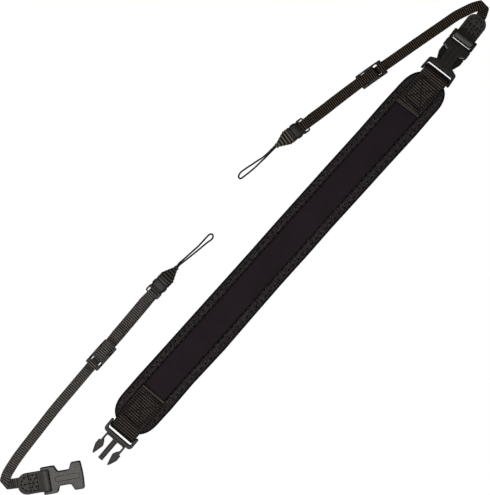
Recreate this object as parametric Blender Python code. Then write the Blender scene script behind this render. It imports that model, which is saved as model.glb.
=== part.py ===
"""A camera neck strap laid out flat on a table, one object for each sewn or moulded piece.

+X runs along the pad, from the end whose buckle lies open to the end whose buckle is fastened.
+Y is the side on which both arms lie, and the table top is z = 0.
Sizes are in millimetres; finish() turns each finished mesh into metres.
"""
import math

import bmesh
import bpy
from mathutils import Vector

MM = 0.001
GAP = 0.3

# Padded neck band: a foam core with a folded tape sewn round its edge.
PAD_LENGTH = 448.0
PAD_WIDTH = 44.2
PAD_CORNER = 20.0
TAPE_OUTSIDE = 6.8
TAPE_THICKNESS = 0.7
TAPE_LIP = 8.6
TAPE_ROUNDING = 1.2
CORE_CLEARANCE = 0.4
PANEL_TOP = 6.6
PANEL_INSET = 9.8
SIDE_DIVISIONS = 8
CORNER_DIVISIONS = 6

# Wide webbing sewn over and under each end of the pad, round the bar of a buckle.
WIDE_THICKNESS = 1.5
WIDE_HALF_WIDTH = 14.3
WIDE_HALF_WIDTH_AT_BAR = 13.8
HEM_FROM_CENTRE = {"left": 180.0, "right": 183.0}
SQUEEZE_RAMP = 8.0

# Side release buckles. Lengths run from the middle of the strap bar towards the mouth.
BAR_RADIUS = {"wide": 1.5, "narrow": 1.4}
FRAME_HALF_WIDTH = {"wide": 16.4, "narrow": 12.8}
SLOT_HALF_LENGTH = {"wide": 14.6, "narrow": 10.7}
ARM_TAIL = {"wide": 3.8, "narrow": 3.4}
MALE_FRAME_HALF_HEIGHT = 3.3
FEMALE_HALF_HEIGHT = 4.0
PRONG_HALF_HEIGHT = 2.1
CAVITY_HALF_HEIGHT = 2.4
CAVITY_HALF_WIDTH = 11.5
CAVITY_END = 10.6
MOUTH = 35.0
MOUTH_HALF_WIDTH = 12.8
WAIST_HALF_WIDTH = 7.7
SHOULDER = {"wide": 10.1, "narrow": 6.3}
FRONT_BAR = {"wide": 3.9, "narrow": 1.2}
PRONG_SQUEEZE_CLOSED = 0.8
# far edge of the slot, then the block's outline from its waist to its side arm: x, y, radius
FEMALE_SHOULDER = {"wide": (5.6, [(11.0, 10.6, 1.6), (7.0, 14.9, 3.5)]),
                   "narrow": (3.8, [(10.2, 12.4, 1.8), (6.0, 12.8, 1.0)])}
EDGE_ROUNDING = 0.6

# Where each buckle lies: middle of its strap bar (x, y, z) and the heading of its mating end.
MALE_LEFT = ((-228.0, -2.0, 3.3), 182.9)
FEMALE_LEFT = ((-312.6, 21.4, 4.0), -38.2)
FEMALE_RIGHT = ((228.6, 1.6, 4.0), 4.0)
PAIR_LENGTH = MOUTH + GAP + SHOULDER["narrow"]

# Leather tabs that join each buckle's narrow bar to the thin webbing.
LEATHER_THICKNESS = 1.5
LEATHER_HALF_WIDTH = 10.0
LEATHER_LENGTH = {"left": 28.2, "right": 28.0}
LEATHER_END_RADIUS = 9.0

# Thin webbing of the two arms.
THIN_THICKNESS = 1.0
THIN_HALF_WIDTH = 4.8
LAYER = THIN_THICKNESS + GAP
FOLD_RADIUS = 0.75
FOLD_BLEND = 8.0
TAIL_LENGTH = 28.6
STATION_STEP = 9.0

# Sliding adjuster: two end bars, a raised centre bar and two arched side rails.
ADJUSTER_LENGTH = 28.8
ADJUSTER_WIDTH = 15.1
END_BAR_WIDTH = 4.0
END_BAR_HEIGHT = 1.6
CENTRE_BAR_HALF = 3.8
CENTRE_BAR_BOTTOM = 2.6
CENTRE_BAR_HEIGHT = 1.4
RAIL_WIDTH = 1.8

# Small release connector: lengths run from the outer edge of its ring to its nose.
RING_BAR = 1.4
RING_LENGTH = 8.4
RING_HALF_WIDTH = 7.4
RING_OPENING_END = 6.2
RING_OPENING_HALF = 6.0
RING_MIDDLE_Z = 2.2
RING_HALF_HEIGHT = 0.9
LOOP_CENTRE = 3.3
SOCKET_END = 15.6
NOSE_END = 36.0

# Thin cords that hitch round the lugs of a camera.
CORD_DIAMETER = 1.05
CORD_STEP = 2.45

WEBBING_COLOUR = (0.030, 0.028, 0.026)
PANEL_COLOUR = (0.011, 0.009, 0.011)
TAPE_COLOUR = (0.018, 0.016, 0.015)
PLASTIC_COLOUR = (0.035, 0.032, 0.030)
LEATHER_COLOUR = (0.040, 0.037, 0.035)
CORD_COLOUR = (0.022, 0.021, 0.020)


# ---------------------------------------------------------------- shared helpers

def heading(degrees):
    """Unit vector in the table's plane."""
    angle = math.radians(degrees)
    return Vector((math.cos(angle), math.sin(angle), 0.0))


def smooth(value):
    """Ease from 0 to 1."""
    value = min(max(value, 0.0), 1.0)
    return value * value * (3.0 - 2.0 * value)


def look_up(rows, at):
    """Read a two column table, straight between its rows."""
    if at <= rows[0][0]:
        return rows[0][1]
    for (start, low), (end, high) in zip(rows, rows[1:]):
        if at <= end:
            return low + (high - low) * (at - start) / (end - start)
    return rows[-1][1]


def curve_through(points, steps=8):
    """Catmull-Rom curve through the points, ends included."""
    padded = [2 * points[0] - points[1], *points, 2 * points[-1] - points[-2]]
    curve = []
    for a, b, c, d in zip(padded, padded[1:], padded[2:], padded[3:]):
        for k in range(steps):
            t = k / steps
            curve.append(0.5 * ((2 * b) + (c - a) * t + (2 * a - 5 * b + 4 * c - d) * t * t
                                + (3 * b - a - 3 * c + d) * t ** 3))
    curve.append(points[-1].copy())
    return curve


class Route:
    """A curve in the table's plane that is read by the distance along it."""

    def __init__(self, points):
        self.points = curve_through(points)
        self.along = [0.0]
        for a, b in zip(self.points, self.points[1:]):
            self.along.append(self.along[-1] + (b - a).length)
        self.length = self.along[-1]

    def at(self, distance):
        distance = min(max(distance, 0.0), self.length)
        for k in range(len(self.along) - 1):
            if distance <= self.along[k + 1]:
                break
        span = self.along[k + 1] - self.along[k]
        return self.points[k].lerp(self.points[k + 1], (distance - self.along[k]) / span)

    def facing(self, distance):
        """Heading in degrees."""
        step = self.at(distance + 1.0) - self.at(distance - 1.0)
        return math.degrees(math.atan2(step.y, step.x))


def skin(bm, rings, capped=True):
    """Join equal rings of vertices one after another."""
    count = len(rings[0])
    for first, second in zip(rings, rings[1:]):
        for k in range(count):
            after = (k + 1) % count
            bm.faces.new((first[k], first[after], second[after], second[k]))
    if capped:
        bm.faces.new(rings[0][::-1])
        bm.faces.new(rings[-1])


def new_material(name, colour, roughness):
    if name in bpy.data.materials:
        return bpy.data.materials[name]
    material = bpy.data.materials.new(name)
    material.use_nodes = True
    shader = material.node_tree.nodes["Principled BSDF"]
    shader.inputs["Base Color"].default_value = (*colour, 1.0)
    shader.inputs["Roughness"].default_value = roughness
    shader.inputs["Metallic"].default_value = 0.0
    return material


def finish(name, bm, material, place=((0.0, 0.0, 0.0), 0.0), sharp=30.0):
    """Turn a millimetre mesh into a named object in metres, set down at its place."""
    bmesh.ops.recalc_face_normals(bm, faces=bm.faces)
    bmesh.ops.scale(bm, vec=(MM, MM, MM), verts=bm.verts)
    mesh = bpy.data.meshes.new(name)
    bm.to_mesh(mesh)
    bm.free()
    mesh.shade_smooth()
    mesh.set_sharp_from_angle(angle=math.radians(sharp))
    mesh.materials.append(material)
    piece = bpy.data.objects.new(name, mesh)
    bpy.context.collection.objects.link(piece)
    where, turn = place
    piece.location = Vector(where) * MM
    piece.rotation_euler.z = math.radians(turn)
    return piece


def merge(target, tool, operation):
    """Apply one exact Boolean of two millimetre meshes and return the result."""
    objects = []
    for bm in (target, tool):
        bmesh.ops.recalc_face_normals(bm, faces=bm.faces)
        mesh = bpy.data.meshes.new("scratch")
        bm.to_mesh(mesh)
        bm.free()
        objects.append(bpy.data.objects.new("scratch", mesh))
        bpy.context.collection.objects.link(objects[-1])
    boolean = objects[0].modifiers.new("join", "BOOLEAN")
    boolean.operation = operation
    boolean.solver = "EXACT"
    boolean.object = objects[1]
    graph = bpy.context.evaluated_depsgraph_get()
    result = bmesh.new()
    result.from_mesh(objects[0].evaluated_get(graph).to_mesh())
    for piece in objects:
        bpy.data.objects.remove(piece)
    return result


def rounded(corners, steps=3):
    """Outline with its corners turned to arcs. A row is (x, y, radius)."""
    outline = []
    count = len(corners)
    for k, (x, y, radius) in enumerate(corners):
        here = Vector((x, y, 0.0))
        if radius <= 0.0:
            outline.append(here)
            continue
        before = Vector((*corners[k - 1][:2], 0.0)) - here
        after = Vector((*corners[(k + 1) % count][:2], 0.0)) - here
        half = before.angle(after) / 2.0
        reach = min(radius / math.tan(half), 0.49 * before.length, 0.49 * after.length)
        start = here + before.normalized() * reach
        end = here + after.normalized() * reach
        for step in range(steps + 1):
            t = step / steps
            outline.append(start * (1 - t) ** 2 + here * 2 * t * (1 - t) + end * t * t)
    return outline


def mirrored(half):
    """Close an outline whose half lies at y > 0, by its mirror image at y < 0."""
    return half + [(x, -y, radius) for x, y, radius in reversed(half)]


def slab(outline, low, high, edge=0.0):
    """Flat plate with the outline, from height low to high, its rims taken off by edge."""
    bm = bmesh.new()
    base = bm.faces.new([bm.verts.new((p.x, p.y, low)) for p in outline])
    lifted = bmesh.ops.extrude_face_region(bm, geom=[base])["geom"]
    moved = [item for item in lifted if isinstance(item, bmesh.types.BMVert)]
    bmesh.ops.translate(bm, vec=(0.0, 0.0, high - low), verts=moved)
    bmesh.ops.recalc_face_normals(bm, faces=bm.faces)
    if edge > 0.0:
        rims = [e for e in bm.edges if abs(e.verts[0].co.z - e.verts[1].co.z) < 1e-6]
        bmesh.ops.bevel(bm, geom=rims, offset=edge, segments=1, profile=0.5, affect="EDGES",
                        clamp_overlap=True, material=-1)
    return bm


def block(x_range, y_range, z_range, edge=0.0):
    """Box given by its three ranges."""
    (x0, x1), (y0, y1) = x_range, y_range
    corners = [(x0, y0, 0.0), (x1, y0, 0.0), (x1, y1, 0.0), (x0, y1, 0.0)]
    return slab(rounded(corners), *z_range, edge)


def cross_bar(radius, half_length, sides=12):
    """Round bar along Y through the origin."""
    bm = bmesh.new()
    rings = []
    for y in (-half_length, half_length):
        turns = [2.0 * math.pi * k / sides for k in range(sides)]
        rings.append([bm.verts.new((radius * math.cos(a), y, radius * math.sin(a))) for a in turns])
    skin(bm, rings)
    return bm


def band(stations, thickness):
    """Strap through stations of (point, half width vector), square in section."""
    bm = bmesh.new()
    rings = []
    last = len(stations) - 1
    for k, (point, across) in enumerate(stations):
        travel = stations[min(k + 1, last)][0] - stations[max(k - 1, 0)][0]
        normal = travel.cross(across).normalized() * (thickness / 2.0)
        corners = (point - across - normal, point + across - normal,
                   point + across + normal, point - across + normal)
        rings.append([bm.verts.new(corner) for corner in corners])
    skin(bm, rings)
    return bm


# ---------------------------------------------------------------- pad and its edge tape

def squeeze_at(x):
    """How far the pad is pressed flat by the webbing sewn over its end, from 0 to 1."""
    hem = HEM_FROM_CENTRE["left"] if x < 0.0 else HEM_FROM_CENTRE["right"]
    return smooth((abs(x) - hem + 1.0 + SQUEEZE_RAMP) / SQUEEZE_RAMP)


SQUEEZED_TOP = TAPE_OUTSIDE - (WIDE_THICKNESS + GAP) + 0.5
SQUEEZED_BOTTOM = WIDE_THICKNESS + GAP


def pad_stations():
    """Anchor and outward direction for each point round the pad, anticlockwise from above."""
    reach_x = PAD_LENGTH / 2.0 - PAD_CORNER
    reach_y = PAD_WIDTH / 2.0 - PAD_CORNER
    marks = {reach_x * (2.0 * k / SIDE_DIVISIONS - 1.0) for k in range(1, SIDE_DIVISIONS)}
    for part in (0.0, 0.35, 0.65, 1.0):
        marks.add(-HEM_FROM_CENTRE["left"] + 1.0 + SQUEEZE_RAMP * part)
        marks.add(HEM_FROM_CENTRE["right"] - 1.0 - SQUEEZE_RAMP * part)
    marks = sorted(marks)
    stations = [(Vector((x, -reach_y, 0.0)), heading(-90.0)) for x in marks]
    for side_x, side_y, start in ((1, -1, -90.0), (1, 1, 0.0)):
        for k in range(CORNER_DIVISIONS + 1):
            anchor = Vector((side_x * reach_x, side_y * reach_y, 0.0))
            stations.append((anchor, heading(start + 90.0 * k / CORNER_DIVISIONS)))
    stations += [(Vector((x, reach_y, 0.0)), heading(90.0)) for x in reversed(marks)]
    for side_x, side_y, start in ((-1, 1, 90.0), (-1, -1, 180.0)):
        for k in range(CORNER_DIVISIONS + 1):
            anchor = Vector((side_x * reach_x, side_y * reach_y, 0.0))
            stations.append((anchor, heading(start + 90.0 * k / CORNER_DIVISIONS)))
    return stations


def pad_ring(bm, inset, height):
    """One ring of vertices round the pad, at an inset from its outer edge."""
    middle = TAPE_OUTSIDE / 2.0
    drop = SQUEEZED_TOP - TAPE_OUTSIDE if height > middle else SQUEEZED_BOTTOM
    ring = []
    for anchor, outward in pad_stations():
        point = anchor + outward * (PAD_CORNER - inset)
        point.z = height + drop * squeeze_at(point.x)
        ring.append(bm.verts.new(point))
    return ring


def make_pad(material):
    """Foam core: thin under the tape's lips, with a fuller panel between them."""
    rim = TAPE_THICKNESS + CORE_CLEARANCE
    top = TAPE_OUTSIDE - rim
    # inset from the outer edge, height at the top; the underside mirrors it
    rows = [(15.0, PANEL_TOP), (PANEL_INSET, PANEL_TOP), (TAPE_LIP + CORE_CLEARANCE, top),
            (2.0, top), (rim, top - 0.6)]
    lows = [(inset, 0.0 if height == PANEL_TOP else TAPE_OUTSIDE - height)
            for inset, height in reversed(rows)]
    bm = bmesh.new()
    rings = [pad_ring(bm, inset, height) for inset, height in rows + lows]
    skin(bm, rings, capped=False)
    count = len(rings[0])
    side = (count - 4 * (CORNER_DIVISIONS + 1)) // 2
    turn = 2 * (CORNER_DIVISIONS + 1)
    for ring in (rings[0], rings[-1]):
        for k in range(side - 1):
            opposite = side + turn + side - 1 - k
            bm.faces.new((ring[k], ring[k + 1], ring[opposite - 1], ring[opposite]))
        bm.faces.new([ring[k] for k in range(side - 1, side + turn + 1)])
        bm.faces.new([ring[k % count] for k in range(2 * side + turn - 1, count + 1)])
    bmesh.ops.remove_doubles(bm, verts=bm.verts, dist=1e-4)
    return finish("neck_pad", bm, material)


def make_edge_tape(material):
    """Folded tape: one closed profile, carried round the pad."""
    high = TAPE_OUTSIDE
    wall = TAPE_THICKNESS
    outside = [(TAPE_LIP, high), (TAPE_ROUNDING, high), (0.0, high - 1.1)]
    inside = [(wall, high - wall - 0.8), (1.6, high - wall), (TAPE_LIP, high - wall)]
    profile = outside + [(inset, high - height) for inset, height in reversed(outside)]
    profile += [(inset, high - height) for inset, height in reversed(inside)] + inside
    bm = bmesh.new()
    rings = [pad_ring(bm, inset, height) for inset, height in profile]
    skin(bm, rings + [rings[0]], capped=False)
    bmesh.ops.remove_doubles(bm, verts=bm.verts, dist=1e-4)
    return finish("edge_binding", bm, material)


def make_pad_webbing(side, bar, outward, material):
    """Wide webbing: from its hem under the pad, round the buckle's bar, to its hem on top."""
    sign = -1.0 if side == "left" else 1.0
    pad_end = PAD_LENGTH / 2.0 + 0.4
    middle_y = -1.3 if side == "left" else 1.0
    radius = BAR_RADIUS["wide"] + GAP + WIDE_THICKNESS / 2.0
    centre = Vector(bar)
    out = heading(outward)
    low = WIDE_THICKNESS / 2.0
    high = TAPE_OUTSIDE + (SQUEEZED_TOP - TAPE_OUTSIDE) + GAP + WIDE_THICKNESS / 2.0
    across = heading(90.0) * sign
    across_bar = Vector((-out.y, out.x, 0.0)) * WIDE_HALF_WIDTH_AT_BAR
    # distance from the pad's middle, middle of the webbing, half width
    layer = [(HEM_FROM_CENTRE[side], middle_y, WIDE_HALF_WIDTH), (197.0, middle_y, WIDE_HALF_WIDTH),
             (212.0, middle_y, WIDE_HALF_WIDTH), (pad_end, centre.y, WIDE_HALF_WIDTH_AT_BAR)]
    stations = [(Vector((sign * x, y, low)), across * half) for x, y, half in layer]
    for k in range(13):
        turn = math.pi * k / 12.0
        lift = Vector((0.0, 0.0, -radius * math.cos(turn)))
        stations.append((centre + out * radius * math.sin(turn) + lift, across_bar))
    stations += [(Vector((sign * x, y, high)), across * half) for x, y, half in reversed(layer)]
    return finish(f"pad_webbing_{side}", band(stations, WIDE_THICKNESS), material)


# ---------------------------------------------------------------- buckles

def prongs(shoulder, squeeze):
    """Guide and two catch arms of the male half, as one outline from its root."""
    # distance from the shoulder, half width, corner radius
    arm = [(9.1, 11.6, 0.0), (9.2, 13.2, 0.5), (15.4, 13.2, 3.0), (20.6, 11.0, 2.0), (23.2, 9.5, 0.7),
           (22.6, 8.2, 0.7), (18.5, 7.4, 1.5), (12.8, 6.0, 1.5), (9.8, 7.0, 1.5), (7.0, 9.4, 1.5),
           (1.6, 9.6, 1.6)]
    guide = [(1.6, 2.6, 1.2), (24.4, 2.4, 0.8)]
    root = [(-1.0, 10.8, 0.0), (1.4, 11.4 - squeeze, 0.4)]
    half = [(shoulder + x, y, r) for x, y, r in root]
    half += [(shoulder + x, y - squeeze, r) for x, y, r in arm]
    half += [(shoulder + x, y, r) for x, y, r in guide]
    return rounded(mirrored(half), steps=2)


def make_male(name, size, place, squeeze, material):
    """Male half: strap bar, frame, guide and two springy catch arms."""
    shoulder = SHOULDER[size]
    slot_end = shoulder - FRONT_BAR[size]
    outer, inner, tail = FRAME_HALF_WIDTH[size], SLOT_HALF_LENGTH[size], -ARM_TAIL[size]
    corner = 4.5 if size == "wide" else 1.6
    half = [(slot_end, inner, 0.6), (tail, inner, 0.8), (tail, outer, 1.1), (shoulder, outer, corner)]
    frame = slab(rounded(mirrored(half[::-1])), -MALE_FRAME_HALF_HEIGHT, MALE_FRAME_HALF_HEIGHT,
                 EDGE_ROUNDING)
    fork = slab(prongs(shoulder, squeeze), -PRONG_HALF_HEIGHT, PRONG_HALF_HEIGHT, 0.35)
    bar = cross_bar(BAR_RADIUS[size], (inner + outer) / 2.0)
    body = merge(merge(frame, fork, "UNION"), bar, "UNION")
    return finish(name, body, material, place)


def make_female(name, size, place, material):
    """Female half: strap bar, block, open-sided waist and a mouth band round the cavity."""
    outer, inner, tail = FRAME_HALF_WIDTH[size], SLOT_HALF_LENGTH[size], -ARM_TAIL[size]
    slot_end, shoulder = FEMALE_SHOULDER[size]
    half = [(MOUTH, MOUTH_HALF_WIDTH, 1.6), (27.2, MOUTH_HALF_WIDTH, 1.6),
            (23.4, WAIST_HALF_WIDTH, 2.4), (13.6, WAIST_HALF_WIDTH, 2.4), *shoulder,
            (tail, outer, 1.1), (tail, inner, 0.8), (slot_end, inner, 0.6)]
    body = slab(rounded(mirrored(half)), -FEMALE_HALF_HEIGHT, FEMALE_HALF_HEIGHT, 0.9)
    cavity = block((CAVITY_END, MOUTH + 5.0), (-CAVITY_HALF_WIDTH, CAVITY_HALF_WIDTH),
                   (-CAVITY_HALF_HEIGHT, CAVITY_HALF_HEIGHT))
    body = merge(body, cavity, "DIFFERENCE")
    bar = cross_bar(BAR_RADIUS[size], (inner + outer) / 2.0)
    return finish(name, merge(body, bar, "UNION"), material, place)


def make_leather_tab(side, bar, outward, material):
    """Leather strip folded round the narrow bar, with both round ends sewn over the webbing."""
    length = LEATHER_LENGTH[side]
    radius = BAR_RADIUS["narrow"] + GAP + LEATHER_THICKNESS / 2.0
    centre = Vector(bar)
    out = heading(outward)
    side_way = Vector((-out.y, out.x, 0.0))
    low = LEATHER_THICKNESS / 2.0
    high = low + LEATHER_THICKNESS + THIN_THICKNESS + 2.0 * GAP
    # distance from the end, share of the way up from the sewn stack to the bar
    insets = (0.0, 1.0, 2.6, 5.2, LEATHER_END_RADIUS, length - 9.0, length - 6.0, length - 3.0)
    layer = []
    for inset in insets:
        short = LEATHER_END_RADIUS - min(inset, LEATHER_END_RADIUS)
        round_end = math.sqrt(LEATHER_END_RADIUS ** 2 - short ** 2)
        half_width = LEATHER_HALF_WIDTH - LEATHER_END_RADIUS + round_end
        rise = smooth((inset - length + 9.0) / 9.0)
        layer.append((length - inset, half_width, rise))
    flat = Vector((centre.x, centre.y, 0.0))
    stations = []
    for reach, half_width, rise in layer:
        z = low + (centre.z - radius - low) * rise
        stations.append((flat - out * reach + Vector((0.0, 0.0, z)), side_way * half_width))
    for k in range(11):
        turn = math.pi * k / 10.0
        lift = Vector((0.0, 0.0, -radius * math.cos(turn)))
        stations.append((centre + out * radius * math.sin(turn) + lift, side_way * LEATHER_HALF_WIDTH))
    for reach, half_width, rise in reversed(layer):
        z = high + (centre.z + radius - high) * rise
        stations.append((flat - out * reach + Vector((0.0, 0.0, z)), side_way * half_width))
    return finish(f"leather_tab_{side}", band(stations, LEATHER_THICKNESS), material)


# ---------------------------------------------------------------- thin webbing of the arms

# Both tables hold x and y of the strap's middle, from the tab to the fold and from the fold on.
INTO_FOLD = {
    "left": [(-321.3, 31.0), (-332.2, 39.8), (-343.1, 48.6)],
    "right": [(284.0, 5.2), (291.0, 5.5), (298.6, 6.8), (303.8, 8.8), (308.8, 11.1)],
}
ARM_ROUTE = {
    "left": [(-332.6, 53.6), (-325.0, 55.2), (-317.3, 56.4), (-309.6, 57.2), (-295.2, 58.3),
             (-279.8, 59.3), (-256.8, 60.8), (-226.1, 61.7), (-203.0, 62.3), (-187.7, 62.2),
             (-164.6, 62.3), (-141.6, 62.9), (-118.6, 63.9), (-109.0, 64.6)],
    "right": [(301.0, 17.4), (297.1, 19.4), (289.4, 22.6), (281.8, 25.3), (267.4, 28.8),
              (252.0, 32.6), (236.6, 36.3), (221.3, 39.8), (205.9, 43.4), (186.2, 48.1),
              (167.5, 52.3), (144.5, 56.9), (129.1, 59.7), (113.8, 62.7), (106.6, 64.2)],
}
FOLD_LINE = {"left": 262.0, "right": 86.0}
FOLD_HEADING = {"left": (141.0, 23.0), "right": (24.0, 148.0)}
ADJUSTER_X = {"left": -187.7, "right": 186.2}
RETURN_SIDE_STEP = {"left": 2.0, "right": -1.1}

# distance before the fold, height of the strap's middle
DOWN_TO_FOLD = [(-10.6, 2.3), (-8.0, 1.5), (-5.8, 0.7), (-4.0, 0.5), (0.0, 0.5)]
# distance after the fold, height
UP_FROM_FOLD = [(0.0, 2.0), (3.0, 2.2), (6.0, 2.5), (9.5, 2.5), (13.5, 1.6), (17.0, 0.8), (21.0, 0.5)]
# distance from the adjuster's middle, height, for a strap that dips between the bars
OVER_BARS = [(10.9, 1.9), (14.0, 1.9), (15.6, 1.7), (18.2, 0.5), (21.0, 0.0)]
DIP = [(5.9, 0.0), (7.4, 0.3), (9.4, 1.4)]


def adjuster_heights(base, sides):
    """Heights of a strap that passes under the centre bar and over the end bars."""
    rise = [(distance, base + lift) for distance, lift in DIP + OVER_BARS]
    rows = [(-distance, height) for distance, height in reversed(rise)] if "before" in sides else []
    return rows + rise


def strap_stations(side):
    """The whole thin strap, from inside its leather tab to its tucked tail."""
    floor = THIN_THICKNESS / 2.0
    way_in, way_out = FOLD_HEADING[side]
    line = FOLD_LINE[side]
    slant = line - (way_in + 90.0)
    stations = []

    def add(point, height, facing, skew):
        across = heading(facing + skew) * (THIN_HALF_WIDTH / math.cos(math.radians(skew)))
        stations.append((Vector((point.x, point.y, height)), across))

    # tab to fold
    before = Route([Vector((x, y, 0.0)) for x, y in INTO_FOLD[side]])
    marks = [0.0, 5.0, 10.0]
    marks += [before.length + row[0] for row in DOWN_TO_FOLD]
    for distance in sorted(mark for mark in marks if mark >= 0.0):
        left = distance - before.length
        skew = slant * smooth(1.0 + left / FOLD_BLEND)
        add(before.at(distance), look_up(DOWN_TO_FOLD, left), before.facing(distance) + 90.0, skew)
    corner = before.at(before.length)
    along = heading(line)
    outward = heading(line - 90.0)
    drift = math.tan(math.radians(slant)) * FOLD_RADIUS
    for k in range(1, 8):
        turn = math.pi * k / 8.0
        point = corner + outward * FOLD_RADIUS * math.sin(turn) - along * drift * turn
        across = along * (THIN_HALF_WIDTH / math.cos(math.radians(slant)))
        point.z = floor + FOLD_RADIUS * (1.0 - math.cos(turn))
        stations.append((point, across))
    start = corner - along * drift * math.pi

    # fold to the connector's ring
    first = start + heading(way_out) * 4.0
    route = Route([start, first] + [Vector((x, y, 0.0)) for x, y in ARM_ROUTE[side]])
    slider = min((abs(route.at(d).x - ADJUSTER_X[side]), d) for d in range(int(route.length)))[1]
    slider = float(slider)
    end = route.length
    rows = UP_FROM_FOLD + [(slider + d, z) for d, z in adjuster_heights(floor, "before and after")]
    rows.append((end, floor))
    marks = {distance for distance, _ in rows}
    for k in range(int((slider - 45.0) / STATION_STEP) + 1):
        marks.add(26.0 + k * STATION_STEP)
    for k in range(int((end - slider - 30.0) / STATION_STEP)):
        marks.add(slider + 26.0 + k * STATION_STEP)
    for distance in sorted(marks):
        skew = -slant * smooth(1.0 - distance / FOLD_BLEND)
        add(route.at(distance), look_up(rows, distance), route.facing(distance) - 90.0, skew)

    # round the ring's bar
    final = route.at(end)
    facing = route.facing(end)
    loop = RING_MIDDLE_Z - floor
    step_rows = [(slider - 3.0, 0.25), (slider + 15.0, 0.4), (slider + 25.0, 1.0),
                 (end - 12.0, 0.9), (end, 0.12)]

    def aside(distance):
        step = look_up(step_rows, distance) * RETURN_SIDE_STEP[side]
        return heading(route.facing(distance) + 90.0) * step

    for k in range(1, 8):
        turn = math.pi * k / 8.0 - math.pi / 2.0
        point = final + heading(facing) * loop * math.cos(turn) + aside(end) * (k / 8.0)
        add(point, RING_MIDDLE_Z + loop * math.sin(turn), facing - 90.0, 0.0)

    # back along the top to the adjuster's centre bar
    over_bar = CENTRE_BAR_BOTTOM + CENTRE_BAR_HEIGHT + GAP + floor
    lying = floor + LAYER
    back = [(slider - 3.1, over_bar), (slider + 5.0, over_bar), (slider + 7.4, over_bar + 0.1),
            (slider + 9.4, over_bar + 0.2), (slider + 14.0, over_bar + 0.2), (slider + 15.6, over_bar),
            (slider + 18.2, 3.6), (slider + 21.0, lying + LAYER), (slider + 29.5, lying + LAYER),
            (slider + 36.0, lying), (end - 18.0, lying), (end - 11.0, 2.7), (end - 5.0, 3.7),
            (end, RING_MIDDLE_Z + loop)]
    marks = {distance for distance, _ in back}
    for k in range(int((end - slider - 58.0) / STATION_STEP)):
        marks.add(slider + 42.0 + k * STATION_STEP)
    for distance in sorted(marks, reverse=True):
        point = route.at(distance) + aside(distance)
        add(point, look_up(back, distance), route.facing(distance) - 90.0, 0.0)

    # round the centre bar, then the tail between the two layers
    hold = slider - 3.1
    pivot = route.at(hold) + aside(hold)
    facing = route.facing(hold)
    middle = CENTRE_BAR_BOTTOM + CENTRE_BAR_HEIGHT / 2.0
    turn_radius = over_bar - middle
    for k in range(1, 8):
        turn = math.pi / 2.0 - math.pi * k / 8.0
        point = pivot - heading(facing) * turn_radius * math.cos(turn)
        add(point, middle + turn_radius * math.sin(turn), facing - 90.0, 0.0)
    tail = [(slider - 3.1, lying)]
    tail += [(slider + d, z) for d, z in adjuster_heights(lying, "after")]
    tail.append((slider + TAIL_LENGTH, lying))
    for distance, height in tail:
        add(route.at(distance) + aside(hold), height, route.facing(distance) - 90.0, 0.0)
    return stations, route, slider


def make_adjuster(name, place, material):
    """Slider: arched rails at the sides, a raised centre bar and two low end bars."""
    half = ADJUSTER_LENGTH / 2.0
    rail_y = ADJUSTER_WIDTH / 2.0 - RAIL_WIDTH / 2.0
    # distance from the middle, height of the rail's middle
    arch = [(0.0, 3.2), (3.4, 3.1), (6.2, 2.4), (9.0, 1.5), (11.5, 0.95), (half, 0.9)]
    path = [(-x, z) for x, z in reversed(arch[1:])] + arch
    rails = []
    for side in (-1.0, 1.0):
        across = Vector((0.0, RAIL_WIDTH / 2.0, 0.0))
        rails.append(band([(Vector((x, side * rail_y, z)), across) for x, z in path], 1.8))
    reach = (-rail_y, rail_y)
    bars = [block((-half, -half + END_BAR_WIDTH), reach, (0.0, END_BAR_HEIGHT), 0.4),
            block((half - END_BAR_WIDTH, half), reach, (0.0, END_BAR_HEIGHT), 0.4),
            block((-CENTRE_BAR_HALF, CENTRE_BAR_HALF), reach,
                  (CENTRE_BAR_BOTTOM, CENTRE_BAR_BOTTOM + CENTRE_BAR_HEIGHT), 0.55)]
    body = rails[0]
    for bar in bars + rails[1:]:
        body = merge(body, bar, "UNION")
    return finish(name, body, material, place)


# ---------------------------------------------------------------- small connectors and cords

def loft(rows, sides=12, squareness=0.62):
    """Closed body through sections of (x, half width, low, high), rounded across."""
    bm = bmesh.new()
    rings = []
    for x, half_width, low, high in rows:
        ring = []
        for k in range(sides):
            turn = 2.0 * math.pi * (k + 0.5) / sides
            c, s = math.cos(turn), math.sin(turn)
            y = half_width * math.copysign(abs(c) ** squareness, c)
            z = (low + high) / 2.0 + (high - low) / 2.0 * math.copysign(abs(s) ** squareness, s)
            ring.append(bm.verts.new((x, y, z)))
        rings.append(ring)
    skin(bm, rings)
    return bm


def make_socket(name, place, material):
    """Ring half: a flat ring for the webbing and a short socket with side press tabs."""
    outer = [(0.0, RING_HALF_WIDTH, 1.8), (RING_LENGTH, RING_HALF_WIDTH, 2.4)]
    inner = [(RING_BAR, RING_OPENING_HALF, 0.8), (RING_OPENING_END, RING_OPENING_HALF, 1.2)]
    low = RING_MIDDLE_Z - RING_HALF_HEIGHT
    high = RING_MIDDLE_Z + RING_HALF_HEIGHT
    ring = slab(rounded(mirrored(outer)), low, high, 0.35)
    ring = merge(ring, slab(rounded(mirrored(inner)), low - 1.0, high + 1.0), "DIFFERENCE")
    body = loft([(7.0, 5.0, 0.7, 4.2), (7.8, 5.8, 0.2, 5.0), (10.2, 7.0, 0.0, 5.8),
                 (13.0, 7.2, 0.0, 5.9), (14.8, 6.9, 0.0, 5.9), (SOCKET_END, 6.4, 0.2, 5.6)])
    body = merge(ring, body, "UNION")
    for side in (-1.0, 1.0):
        y_range = sorted((side * 6.2, side * 7.7))
        tab = block((10.4, 14.6), y_range, (1.5, 4.4), 0.4)
        body = merge(body, tab, "UNION")
    return finish(name, body, material, place)


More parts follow.
